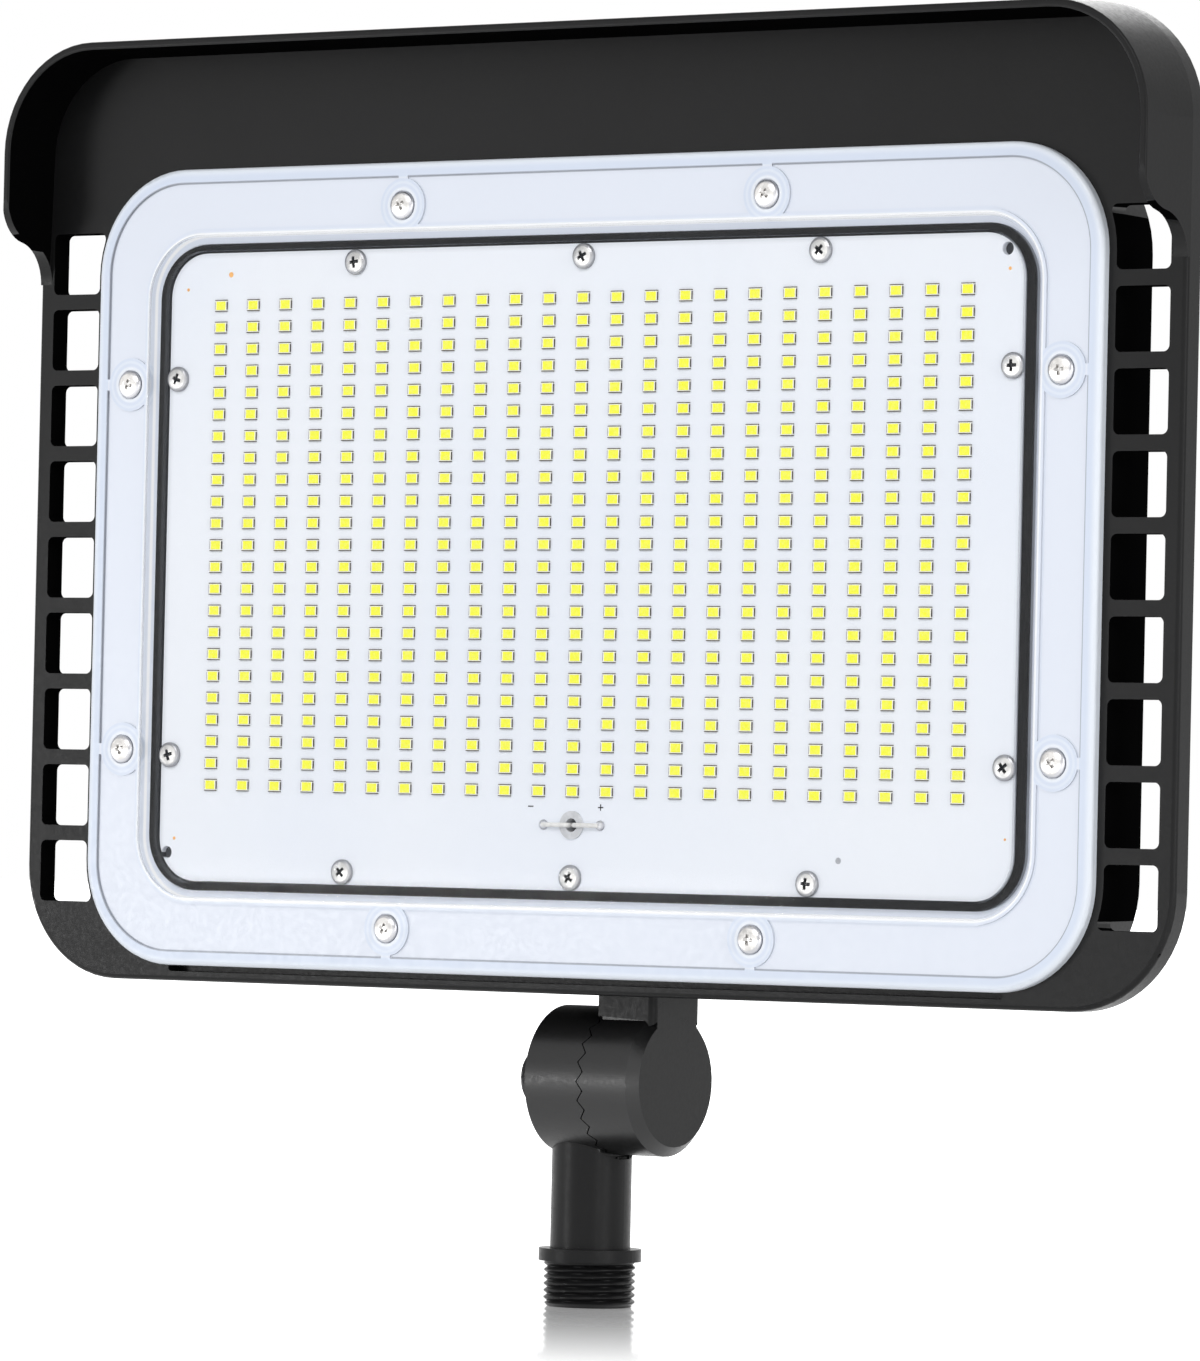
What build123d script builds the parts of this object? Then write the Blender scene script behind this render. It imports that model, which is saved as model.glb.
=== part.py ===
from build123d import *
import math
import os

os.makedirs("parts", exist_ok=True)

# The frame of the model
# The stem's axis is the Z axis, and the collar's underside, where the stem seats, is at Z = 0.
# The lens looks along -Y, and X runs to the viewer's right. All sizes are in millimetres.

# Stem and pipe thread
thread_d = 21.34
thread_len = 10.7
collar_d = 24.0
collar_t = 2.9
stem_d = 18.8
wireway_d = 13.0
wireway_top_z = 22.0
wireway_neck_d = 9.0

# Toothed knuckle, which turns about X
pivot_z = 42.3
stem_to_seam = 7.6
knuckle_r = 17.3
lower_half_len = 15.2
upper_half_len = 15.6
knuckle_chamfer = 2.3
tooth_count = 24
tooth_height = 1.55
tooth_inner_r = 12.2
tooth_flank_share = 0.92
seam_gap = 0.45
land_depth = 1.0
chamber_r = 9.6
chamber_depth = 8.5
bolt_boss_r = 6.5
stem_relief = 0.6
neck_depth = 19.2
neck_round = 1.6
neck_bore_x = 6.6

# Knuckle bolt, washers and seal
bolt_d = 8.0
bolt_fit = 0.05
bolt_reach = 10.0
bolt_hole_spare = 2.2
bolt_head_af = 13.0
bolt_head_t = 5.3
flat_washer_d = 17.0
flat_washer_t = 1.6
spring_washer_d = 13.6
spring_washer_t = 2.0
washer_bore_fit = 0.2
seal_inner_r = 10.3
seal_w = 1.5
seal_seat = 1.5
seal_clear = 0.3

# How far a shape runs into the one that it joins, or past the one that it cuts
overlap = 1.0

# Place of the head
lens_above_pivot = 119.1
face_ahead_of_pivot = 21.0

# Frame, hood and body of the casting, with heights counted from the lens centre
frame_w = 324.0
frame_top = 126.2
frame_bottom = -99.0
corner_r = 27.0
bar_depth = 5.6
edge_round = 1.2
hood_rim_round = 0.6
hood_depth = 16.8
hood_draft = 1.1
hood_root_t = 3.6
hood_tip_t = 1.9
hood_full_z = 88.0
hood_end_z = 68.5
body_margin = 1.9
body_depth = 15.4
body_wall = 2.5
plate_t = 5.0

# Ladder of windows down each side
window_count = 9
window_h = 14.7
window_draw_in = 5.0
window_pitch = 18.34
window_round = 1.5
outer_bar_w = 4.2

# Slot under the lens
slot_w = 236.0
slot_h = 1.5
slot_depth = 4.0

# Lens
lens_w = 283.6
lens_h = 190.4
lens_r = 25.0
flange_t = 2.7
flange_round = 1.2
lens_band = 3.4
channel_depth = 0.6
window_wall = 1.6
window_t = 1.6
inner_band = 1.6
window_edge_round = 1.0
boss_r = 6.4
boss_neck_w = 2.6
boss_root_w = 8.7
boss_seat_depth = 0.5
lens_screw_top_x = 51.5
lens_screw_top_z = 85.0
lens_screw_side_x = 131.5
lens_screw_side_z = 43.8

# Lens gasket, wider at its sides than at its top and bottom
gasket_inner_w = 242.4
gasket_inner_h = 151.0
gasket_inner_r = 11.0
gasket_outer_r = 13.0
gasket_side_w = 2.5
gasket_top_w = 1.45
gasket_front = 1.3
gasket_fit = 0.05
gasket_lens_gap = 0.3

# Board, pad and packages
board_clear = 0.5
board_t = 1.6
board_front = 1.0
pad_t = 0.3
board_screw_top_x = 65.8
board_screw_top_z = 72.0
board_screw_side_x = 118.0
board_screw_side_z = 45.0
led_across = 23
led_down = 23
led_pitch_x = 9.6
led_pitch_z = 5.2
led_w = 3.5
led_h = 2.8
led_t = 0.8
led_centre_z = 5.2
tooling_hole_d = 3.0
tooling_hole_places = [(115.8, 71.3), (-118.5, -68.3)]

# Leads and grommet
grommet_z = -59.8
grommet_d = 5.0
grommet_flange_d = 6.6
grommet_flange_t = 0.4
grommet_bore_d = 3.2
grommet_back_t = 1.0
lead_d = 1.1
lead_spacing = 1.5
lead_lift = 0.05
lead_land = 0.1
lead_back_r = 4.0
lead_front_r = 1.0
lead_end_r = 2.0
pad_x = 8.0
solder_d = 3.2
solder_h = 1.3
solder_taper = 24

# Screws: head across, head height, shank across
lens_screw = (6.7, 1.9, 4.0)
lens_screw_len = 10.0
board_screw = (6.0, 1.4, 3.0)
board_screw_len = 4.6
driver_screw = (7.0, 2.2, 4.0)
driver_screw_len = 6.0
cover_screw = (8.0, 2.4, 5.0)
cover_screw_len = 14.0
screw_fit = 0.05
clearance_fit = 0.2

# Driver compartment on the back
comp_w = 104.0
comp_top = 44.0
comp_bottom = -98.0
comp_wall = 3.0
comp_depth = 43.0
comp_corner_r = 8.0
comp_gasket_t = 1.5
comp_gasket_inset = 1.0
cover_t = 3.0
cover_rib_h = 1.6
cover_rib_w = 2.0
cover_rib_pitch = 14.0
cover_rib_count = 5
cover_rib_inset = 12.0
cover_chamfer = 0.8
cover_screw_x = 46.0
cover_screw_end = 7.0
cover_boss_r = 4.6

# Driver and earth screw
driver_w = 78.0
driver_h = 78.0
driver_t = 26.0
driver_z = -9.0
driver_ear = 8.0
driver_ear_t = 2.0
driver_ear_inset = 1.0
post_r = 4.5
post_h = 3.0
post_x = 30.0
lens_boss_len = 6.0
hole_floor = 1.4
board_hole_floor = 0.6
driver_hole_spare = 0.4
earth_x = -34.0
earth_z = -78.0

# Heat sink fins on the back
fin_t = 2.0
fin_pitch = 9.0
fin_side_count = 9
fin_depth = 24.0
fin_bottom_z = -92.0
fin_top_z = 92.0
fin_tip_inset = 12.0

# Values that follow from the ones above
seam_x = stem_to_seam
lamp_x = seam_x
lens_z = pivot_z + lens_above_pivot
face_y = -face_ahead_of_pivot
frame_h = frame_top - frame_bottom
frame_mid = (frame_top + frame_bottom) / 2
body_w = lens_w + 2 * body_margin
body_h = lens_h + 2 * body_margin
body_r = lens_r + body_margin
window_outer_x = frame_w / 2 - outer_bar_w
window_w = window_outer_x - body_w / 2 + window_draw_in
window_rows = [k - (window_count - 1) / 2 for k in range(window_count)]
gasket_outer_w = gasket_inner_w + 2 * gasket_side_w
gasket_outer_h = gasket_inner_h + 2 * gasket_top_w
dome_w = gasket_outer_w + 2 * (gasket_lens_gap + window_wall)
dome_h = gasket_outer_h + 2 * (gasket_lens_gap + window_wall)
dome_r = gasket_outer_r + gasket_lens_gap + window_wall
board_w = gasket_inner_w - 2 * board_clear
board_h = gasket_inner_h - 2 * board_clear
board_r = gasket_inner_r - board_clear
board_back = board_front - board_t
driver_mid = plate_t + post_h + driver_t / 2
pocket_depth = pad_t - board_back
comp_h = comp_top - comp_bottom
comp_mid = (comp_top + comp_bottom) / 2
bolt_r = bolt_d / 2
bolt_bore_r = bolt_r + bolt_fit
lens_screw_places = [(sx * lens_screw_top_x, sz * lens_screw_top_z) for sx in (-1, 1) for sz in (-1, 1)]
lens_screw_places += [(sx * lens_screw_side_x, sz * lens_screw_side_z) for sx in (-1, 1) for sz in (-1, 1)]
board_screw_places = [(x, z * board_screw_top_z) for x in (-board_screw_top_x, 0, board_screw_top_x) for z in (-1, 1)]
board_screw_places += [(sx * board_screw_side_x, sz * board_screw_side_z) for sx in (-1, 1) for sz in (-1, 1)]
cover_screw_rise = comp_h / 2 - cover_screw_end
cover_screw_places = [(sx * cover_screw_x, comp_mid + k * cover_screw_rise) for sx in (-1, 1) for k in (-1, 0, 1)]
driver_screw_rise = driver_h / 2 + driver_ear / 2
driver_screw_places = [(sx * post_x, driver_z + k * driver_screw_rise) for sx in (-1, 1) for k in (-1, 1)]
led_places = [
    ((i - (led_across - 1) / 2) * led_pitch_x, led_centre_z + (k - (led_down - 1) / 2) * led_pitch_z)
    for i in range(led_across)
    for k in range(led_down)
]


def front(forward):
    """The plane parallel to the lens, this far in front of the frame's face, with its origin at the lens centre."""
    return Plane(origin=(lamp_x, face_y - forward, lens_z), x_dir=(1, 0, 0), z_dir=(0, -1, 0))


def seam(offset):
    """The plane square to the pivot, this far to the right of the knuckle's seam, with its origin on the pivot."""
    return Plane(origin=(seam_x + offset, 0, pivot_z), x_dir=(0, 1, 0), z_dir=(1, 0, 0))


def pivot_section():
    """The plane through the pivot in which the turned shapes of the knuckle are drawn: X from the seam, Y out."""
    return Plane(origin=(seam_x, 0, pivot_z), x_dir=(1, 0, 0), z_dir=(0, -1, 0))


def tooth_gap(side):
    """The V cut between two teeth, about the Z axis. It gets narrower and shallower towards the axis."""
    half_angle = math.radians(180 / tooth_count)
    with BuildPart() as gap:
        for r in (tooth_inner_r - overlap, knuckle_r + overlap):
            w = tooth_flank_share * r * math.tan(half_angle)
            h = side * tooth_height / 2 * r / knuckle_r
            clear = side * 2 * tooth_height
            with BuildSketch(Plane(origin=(r, 0, 0), x_dir=(0, 1, 0), z_dir=(1, 0, 0))):
                with BuildLine():
                    Polyline((-w, clear), (-w, h), (0, -h), (w, h), (w, clear), close=True)
                make_face()
        loft(ruled=True)
    return gap.part


def turned(points):
    """Turn a closed outline, given as distance from the seam and radius, about the pivot."""
    with BuildSketch(pivot_section()) as section:
        with BuildLine():
            Polyline(*points, close=True)
        make_face()
    revolve(section.sketch, axis=Axis((seam_x, 0, pivot_z), (1, 0, 0)))


def screws(places, seat, size, length, forward=1):
    """Plain screws with their heads' seats this far in front of the face. They point back, or forward with -1."""
    head_d, head_h, shank_d = size
    with BuildSketch(front(seat)) as heads:
        with Locations(*places):
            Circle(head_d / 2)
    extrude(heads.sketch, amount=forward * head_h)
    with BuildSketch(front(seat)) as shanks:
        with Locations(*places):
            Circle(shank_d / 2)
    extrude(shanks.sketch, amount=-forward * length)


lower_gap = tooth_gap(1)
upper_gap = tooth_gap(-1)
inner_rise = tooth_height / 2 * tooth_inner_r / knuckle_r
outer_rise = tooth_height / 2

# Lower half of the knuckle, with the stem, the collar and the plain cylinder of the pipe thread
with BuildPart() as lower_knuckle:
    with BuildSketch(Plane.XY):
        Circle(stem_d / 2)
    extrude(amount=pivot_z - tooth_inner_r)
    with BuildSketch(Plane.XY):
        Circle(collar_d / 2)
    extrude(amount=collar_t)
    with BuildSketch(Plane.XY):
        Circle(thread_d / 2)
    extrude(amount=-thread_len)
    # The stem is wider than the half, so it is cut back round both of its faces.
    with BuildSketch(seam(-outer_rise - bolt_fit)):
        Circle(knuckle_r + stem_relief)
    extrude(amount=upper_half_len, mode=Mode.SUBTRACT)
    with BuildSketch(seam(-lower_half_len)):
        Circle(knuckle_r)
    extrude(amount=-stem_d, mode=Mode.SUBTRACT)
    turned(
        [
            (-lower_half_len, bolt_bore_r),
            (-lower_half_len, knuckle_r),
            (outer_rise, knuckle_r),
            (inner_rise, tooth_inner_r),
            (-land_depth, tooth_inner_r),
            (-land_depth, seal_inner_r + seal_w),
            (-land_depth - seal_seat, seal_inner_r + seal_w),
            (-land_depth - seal_seat, seal_inner_r),
            (-land_depth, seal_inner_r),
            (-land_depth, chamber_r),
            (-chamber_depth, chamber_r),
            (-chamber_depth, bolt_boss_r),
            (-land_depth, bolt_boss_r),
            (-land_depth, bolt_bore_r),
        ]
    )
    with Locations(seam(0).location):
        with PolarLocations(0, tooth_count):
            add(lower_gap, mode=Mode.SUBTRACT)
    with BuildSketch(Plane.XY.offset(-thread_len)):
        Circle(wireway_d / 2)
    extrude(amount=thread_len + wireway_top_z, mode=Mode.SUBTRACT)
    with BuildSketch(Plane.XY.offset(wireway_top_z)):
        Circle(wireway_neck_d / 2)
    extrude(amount=pivot_z - bolt_boss_r - overlap - wireway_top_z, mode=Mode.SUBTRACT)
lower_knuckle.part.label = "lower_knuckle"

# Bolt, washers and seal of the knuckle
with BuildPart() as knuckle_flat_washer:
    with BuildSketch(seam(-lower_half_len)):
        Circle(flat_washer_d / 2)
        Circle(bolt_r + washer_bore_fit, mode=Mode.SUBTRACT)
    extrude(amount=-flat_washer_t)
knuckle_flat_washer.part.label = "knuckle_flat_washer"

with BuildPart() as knuckle_spring_washer:
    with BuildSketch(seam(-lower_half_len - flat_washer_t)):
        Circle(spring_washer_d / 2)
        Circle(bolt_r + washer_bore_fit, mode=Mode.SUBTRACT)
    extrude(amount=-spring_washer_t)
knuckle_spring_washer.part.label = "knuckle_spring_washer"

bolt_seat = -lower_half_len - flat_washer_t - spring_washer_t
with BuildPart() as knuckle_bolt:
    with BuildSketch(seam(bolt_seat)):
        RegularPolygon(bolt_head_af / 2, 6, major_radius=False)
    extrude(amount=-bolt_head_t)
    with BuildSketch(seam(bolt_seat)):
        Circle(bolt_r)
    extrude(amount=-bolt_seat + bolt_reach)
knuckle_bolt.part.label = "knuckle_bolt"

with BuildPart() as knuckle_seal:
    with BuildSketch(seam(-land_depth - seal_seat)):
        Circle(seal_inner_r + seal_w)
        Circle(seal_inner_r, mode=Mode.SUBTRACT)
    extrude(amount=seal_seat + 2 * land_depth + seam_gap - seal_clear)
knuckle_seal.part.label = "knuckle_seal"

# One heat sink fin in the lamp's middle plane
with BuildPart() as fin:
    with BuildSketch(Plane(origin=(lamp_x, face_y, lens_z), x_dir=(0, 1, 0), z_dir=(1, 0, 0))):
        with BuildLine():
            Polyline(
                (plate_t - overlap, fin_bottom_z),
                (plate_t, fin_bottom_z),
                (plate_t + fin_depth, fin_bottom_z + fin_tip_inset),
                (plate_t + fin_depth, fin_top_z - fin_tip_inset),
                (plate_t, fin_top_z),
                (plate_t - overlap, fin_top_z),
                close=True,
            )
        make_face()
    extrude(amount=fin_t / 2, both=True)
first_side_fin = comp_w / 2 + fin_pitch / 2
side_fins = [s * (first_side_fin + k * fin_pitch) for s in (-1, 1) for k in range(fin_side_count)]
top_fin_reach = int((comp_w / 2 - fin_t) / fin_pitch)
top_fins = [k * fin_pitch for k in range(-top_fin_reach, top_fin_reach + 1)]

# Frame plate, with its front edge rounded
with BuildPart() as frame_plate:
    with BuildSketch(front(0)):
        with Locations((0, frame_mid)):
            RectangleRounded(frame_w, frame_h, corner_r)
    extrude(amount=-bar_depth)
    fillet(frame_plate.faces().sort_by(Axis.Y)[0].edges(), edge_round)

# Housing: frame, hood, windows, heat sink, driver compartment, neck and upper half of the knuckle in one casting
with BuildPart() as housing:
    # Hood: a drafted wall round the frame, hollowed, then cut back down each side along an S curve
    with BuildSketch(front(-edge_round)):
        with Locations((0, frame_mid)):
            RectangleRounded(frame_w, frame_h, corner_r)
    hood_len = hood_depth + edge_round
    extrude(amount=hood_len, taper=math.degrees(math.atan(hood_draft / hood_len)))
    tip_in = hood_draft + hood_tip_t
    with BuildSketch(front(hood_depth)):
        with Locations((0, frame_mid)):
            RectangleRounded(frame_w - 2 * tip_in, frame_h - 2 * tip_in, corner_r - tip_in)
    inner_draft = math.degrees(math.atan((hood_root_t - tip_in) / hood_len))
    extrude(amount=-hood_len, taper=inner_draft, mode=Mode.SUBTRACT)
    fillet(housing.faces().sort_by(Axis.Y)[0].edges(), hood_rim_round)
    with BuildSketch(Plane(origin=(lamp_x, face_y, lens_z), x_dir=(0, -1, 0), z_dir=(-1, 0, 0))):
        with BuildLine():
            middle = (hood_depth / 2, (hood_full_z + hood_end_z) / 2)
            past = hood_depth + overlap
            start = -edge_round - overlap
            under = frame_bottom - overlap
            lower_arc = TangentArc((0, hood_end_z), middle, tangent=(0, 1))
            upper_arc = TangentArc((hood_depth, hood_full_z), middle, tangent=(0, -1))
            Polyline(
                (hood_depth, hood_full_z),
                (past, hood_full_z),
                (past, under),
                (start, under),
                (start, hood_end_z),
                (0, hood_end_z),
            )
        make_face()
    extrude(amount=frame_w, both=True, mode=Mode.SUBTRACT)
    add(frame_plate)
    # Body: a plate behind the lens with a wall round it
    with BuildSketch(front(0)):
        RectangleRounded(body_w, body_h, body_r)
    extrude(amount=-body_depth)
    with BuildSketch(front(-plate_t)):
        RectangleRounded(body_w - 2 * body_wall, body_h - 2 * body_wall, body_r - body_wall)
    extrude(amount=plate_t - body_depth, mode=Mode.SUBTRACT)
    # Ladder of windows between the body and the outer bars
    window_edges = [k * window_pitch + s * window_h / 2 for k in window_rows for s in (-1, 1)]
    with BuildSketch(front(0)) as ladder:
        with GridLocations(2 * window_outer_x - window_w, window_pitch, 2, window_count):
            Rectangle(window_w, window_h)
        RectangleRounded(body_w, body_h, body_r, mode=Mode.SUBTRACT)
        corners = [v for v in ladder.vertices() if min(abs(v.Y - z) for z in window_edges) < 0.01]
        fillet(corners, window_round)
    extrude(amount=-bar_depth, mode=Mode.SUBTRACT)
    # Slot under the lens
    with BuildSketch(front(0)):
        with Locations((0, -(lens_h + slot_h) / 2)):
            SlotOverall(slot_w, slot_h)
    extrude(amount=-slot_depth, mode=Mode.SUBTRACT)
    # Heat sink fins beside and above the driver compartment
    with Locations(*[(x, 0, 0) for x in side_fins + top_fins]):
        add(fin)
    # Driver compartment, open at the back
    with BuildSketch(front(overlap - plate_t)):
        with Locations((0, comp_mid)):
            RectangleRounded(comp_w, comp_h, comp_corner_r)
    extrude(amount=plate_t - overlap - comp_depth)
    with BuildSketch(front(-plate_t)):
        with Locations((0, comp_mid)):
            RectangleRounded(comp_w - 2 * comp_wall, comp_h - 2 * comp_wall, comp_corner_r - comp_wall)
    extrude(amount=plate_t - comp_depth, mode=Mode.SUBTRACT)
    # Bosses for the cover's screws, posts for the driver's screws and the earth screw
    with BuildSketch(front(overlap - plate_t)):
        with Locations(*cover_screw_places):
            Circle(cover_boss_r)
    extrude(amount=plate_t - overlap - comp_depth)
    with BuildSketch(front(overlap - plate_t)):
        with Locations(*driver_screw_places, (earth_x, earth_z)):
            Circle(post_r)
    extrude(amount=-post_h - overlap)
    # Bosses behind the lens screws
    with BuildSketch(front(overlap - plate_t)):
        with Locations(*lens_screw_places):
            Circle(post_r)
    extrude(amount=-lens_boss_len - overlap)
    # Neck, cut clear of the lower half, and the turned upper half of the knuckle
    with BuildSketch(Plane.XY.offset(pivot_z)) as neck:
        with Locations((seam_x + upper_half_len / 2, 0)):
            Rectangle(upper_half_len, neck_depth)
        fillet(neck.vertices().group_by(Axis.X)[-1], neck_round)
    extrude(amount=lens_z + comp_bottom + comp_wall / 2 - pivot_z)
    with BuildSketch(seam(0)):
        Circle(knuckle_r - overlap)
    extrude(amount=upper_half_len, mode=Mode.SUBTRACT)
    with BuildSketch(seam(-overlap)):
        Circle(knuckle_r + stem_relief)
    extrude(amount=overlap + seam_gap + outer_rise, mode=Mode.SUBTRACT)
    turned(
        [
            (seam_gap - outer_rise, knuckle_r),
            (upper_half_len - knuckle_chamfer, knuckle_r),
            (upper_half_len, knuckle_r - knuckle_chamfer),
            (upper_half_len, 0),
            (bolt_reach + bolt_hole_spare, 0),
            (bolt_reach + bolt_hole_spare, bolt_bore_r),
            (seam_gap + land_depth, bolt_bore_r),
            (seam_gap + land_depth, bolt_boss_r),
            (chamber_depth, bolt_boss_r),
            (chamber_depth, chamber_r),
            (seam_gap + land_depth, chamber_r),
            (seam_gap + land_depth, tooth_inner_r),
            (seam_gap - inner_rise, tooth_inner_r),
        ]
    )
    with Locations(seam(seam_gap).location):
        with PolarLocations(0, tooth_count, start_angle=180 / tooth_count):
            add(upper_gap, mode=Mode.SUBTRACT)
    # Wireway from the knuckle's chamber up through the neck into the compartment
    wireway_start = pivot_z + bolt_boss_r + overlap
    with BuildSketch(Plane.XY.offset(wireway_start)):
        with Locations((seam_x + neck_bore_x, 0)):
            Circle(wireway_neck_d / 2)
    extrude(amount=lens_z + comp_bottom + comp_wall + overlap - wireway_start, mode=Mode.SUBTRACT)
    # Seat of the board and the gasket
    with BuildSketch(front(0)):
        RectangleRounded(gasket_outer_w + 2 * gasket_fit, gasket_outer_h + 2 * gasket_fit, gasket_outer_r + gasket_fit)
    extrude(amount=-pocket_depth, mode=Mode.SUBTRACT)
    # Screw holes and the hole of the grommet
    with BuildSketch(front(0)):
        with Locations(*lens_screw_places):
            Circle(lens_screw[2] / 2 + screw_fit)
    extrude(amount=-plate_t - lens_boss_len + hole_floor, mode=Mode.SUBTRACT)
    with BuildSketch(front(-pocket_depth)):
        with Locations(*board_screw_places):
            Circle(board_screw[2] / 2 + screw_fit)
    extrude(amount=pocket_depth - plate_t + board_hole_floor, mode=Mode.SUBTRACT)
    with BuildSketch(front(-comp_depth)):
        with Locations(*cover_screw_places):
            Circle(cover_screw[2] / 2 + screw_fit)
    extrude(amount=cover_screw_len, mode=Mode.SUBTRACT)
    with BuildSketch(front(-plate_t - post_h)):
        with Locations(*driver_screw_places, (earth_x, earth_z)):
            Circle(driver_screw[2] / 2 + screw_fit)
    extrude(amount=driver_screw_len - driver_ear_t + driver_hole_spare, mode=Mode.SUBTRACT)
    with BuildSketch(front(0)):
        with Locations((0, grommet_z)):
            Circle(grommet_d / 2 + screw_fit)
    extrude(amount=-plate_t, mode=Mode.SUBTRACT)
housing.part.label = "housing"

# Thermal pad and board
with BuildPart() as thermal_pad:
    with BuildSketch(front(-pocket_depth)):
        RectangleRounded(board_w, board_h, board_r)
        with Locations(*board_screw_places):
            Circle(board_screw[2] / 2 + clearance_fit, mode=Mode.SUBTRACT)
        with Locations((0, grommet_z)):
            Circle(grommet_d / 2 + clearance_fit, mode=Mode.SUBTRACT)
    extrude(amount=pad_t)
thermal_pad.part.label = "thermal_pad"

with BuildPart() as led_board:
    with BuildSketch(front(board_back)):
        RectangleRounded(board_w, board_h, board_r)
        with Locations(*board_screw_places):
            Circle(board_screw[2] / 2 + clearance_fit, mode=Mode.SUBTRACT)
        with Locations((0, grommet_z)):
            Circle(grommet_d / 2 + screw_fit, mode=Mode.SUBTRACT)
        with Locations(*tooling_hole_places):
            Circle(tooling_hole_d / 2, mode=Mode.SUBTRACT)
    extrude(amount=board_t)
led_board.part.label = "led_board"

with BuildPart() as led_packages:
    with BuildSketch(front(board_front)):
        with Locations(*led_places):
            Rectangle(led_w, led_h)
    extrude(amount=led_t)
led_packages.part.label = "led_packages"

with BuildPart() as board_screws:
    screws(board_screw_places, board_front, board_screw, board_screw_len)
board_screws.part.label = "board_screws"

# Grommet and the two leads
with BuildPart() as wire_grommet:
    with BuildSketch(front(-plate_t)):
        with Locations((0, grommet_z)):
            Circle(grommet_d / 2)
    extrude(amount=plate_t + board_front)
    with BuildSketch(front(board_front)):
        with Locations((0, grommet_z)):
            Circle(grommet_flange_d / 2)
    extrude(amount=grommet_flange_t)
    with BuildSketch(front(-plate_t)):
        with Locations((0, grommet_z)):
            Circle(grommet_flange_d / 2)
    extrude(amount=-grommet_back_t)
    with BuildSketch(front(-plate_t - grommet_back_t)):
        with Locations((0, grommet_z)):
            Circle(grommet_bore_d / 2)
    extrude(amount=grommet_back_t + plate_t + board_front + grommet_flange_t, mode=Mode.SUBTRACT)
wire_grommet.part.label = "wire_grommet"


def lead(side):
    """A lead from the driver's end wall down, forward through the grommet and across to its solder pad."""
    x = side * lead_spacing / 2
    over = board_front + grommet_flange_t + lead_lift + lead_d / 2
    landing = board_front + lead_land + lead_d / 2
    route = [
        (x, driver_z - driver_h / 2, -driver_mid),
        (x, grommet_z, -driver_mid),
        (x, grommet_z, over),
        (side * (grommet_flange_d / 2 + lead_d), grommet_z, over),
        (side * pad_x, grommet_z, landing),
    ]
    place = front(0)
    with BuildPart() as wire:
        with BuildLine():
            path = FilletPolyline(
                *[place.from_local_coords(p) for p in route],
                radius=(lead_back_r, lead_front_r, lead_end_r),
            )
        with BuildSketch(Plane(origin=path @ 0, z_dir=path % 0)):
            Circle(lead_d / 2)
        sweep()
    return wire


led_lead_positive = lead(1)
led_lead_positive.part.label = "led_lead_positive"
led_lead_negative = lead(-1)
led_lead_negative.part.label = "led_lead_negative"

with BuildPart() as solder_joints:
    with BuildSketch(front(board_front)):
        with Locations((-pad_x, grommet_z), (pad_x, grommet_z)):
            RegularPolygon(solder_d / 2, 8, major_radius=False)
    extrude(amount=solder_h, taper=solder_taper)
    add(led_lead_positive, mode=Mode.SUBTRACT)
    add(led_lead_negative, mode=Mode.SUBTRACT)
solder_joints.part.label = "solder_joints"

# Lens gasket, lens and its screws
with BuildPart() as lens_gasket:
    with BuildSketch(front(-pocket_depth)):
        RectangleRounded(gasket_outer_w, gasket_outer_h, gasket_outer_r)
        RectangleRounded(gasket_inner_w, gasket_inner_h, gasket_inner_r, mode=Mode.SUBTRACT)
    extrude(amount=pocket_depth + gasket_front)
lens_gasket.part.label = "lens_gasket"

with BuildPart() as lens:
    with BuildSketch(front(0)):
        RectangleRounded(lens_w, lens_h, lens_r)
    extrude(amount=flange_t)
    fillet(lens.faces().sort_by(Axis.Y)[0].edges(), flange_round)
    # Raised window
    with BuildSketch(front(0)):
        RectangleRounded(dome_w, dome_h, dome_r)
    extrude(amount=flange_t + window_t)
    fillet(lens.faces().sort_by(Axis.Y)[0].edges(), window_edge_round)
    # Its hollow clears the board, with a step that presses on the gasket
    with BuildSketch(front(0)):
        RectangleRounded(dome_w - 2 * window_wall, dome_h - 2 * window_wall, dome_r - window_wall)
    extrude(amount=gasket_front, mode=Mode.SUBTRACT)
    with BuildSketch(front(0)):
        RectangleRounded(gasket_inner_w, gasket_inner_h, gasket_inner_r)
    extrude(amount=flange_t, mode=Mode.SUBTRACT)
    # Channel round the flange, left out at the bosses and their necks
    with BuildSketch(front(flange_t)):
        RectangleRounded(lens_w - 2 * lens_band, lens_h - 2 * lens_band, lens_r - lens_band)
        RectangleRounded(dome_w + 2 * inner_band, dome_h + 2 * inner_band, dome_r + inner_band, mode=Mode.SUBTRACT)
        with Locations(*lens_screw_places):
            Circle(boss_r, mode=Mode.SUBTRACT)
        for x, z in lens_screw_places:
            out = Vector(0, math.copysign(1, z)) if abs(z) > abs(x) * lens_h / lens_w else Vector(math.copysign(1, x), 0)
            across = Vector(abs(out.Y), abs(out.X))
            neck_size = across * boss_neck_w + Vector(abs(out.X), abs(out.Y)) * 2 * boss_r
            root_size = across * boss_root_w + Vector(abs(out.X), abs(out.Y)) * 2 * boss_r
            with Locations(Vector(x, z) + out * boss_r):
                Rectangle(neck_size.X, neck_size.Y, mode=Mode.SUBTRACT)
            with Locations(Vector(x, z) - out * boss_r):
                Rectangle(root_size.X, root_size.Y, mode=Mode.SUBTRACT)
    extrude(amount=-channel_depth, mode=Mode.SUBTRACT)
    # Seats and holes of the screws
    with BuildSketch(front(flange_t)):
        with Locations(*lens_screw_places):
            Circle(lens_screw[0] / 2 + clearance_fit)
    extrude(amount=-boss_seat_depth, mode=Mode.SUBTRACT)
    with BuildSketch(front(flange_t)):
        with Locations(*lens_screw_places):
            Circle(lens_screw[2] / 2 + clearance_fit)
    extrude(amount=-flange_t, mode=Mode.SUBTRACT)
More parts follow.
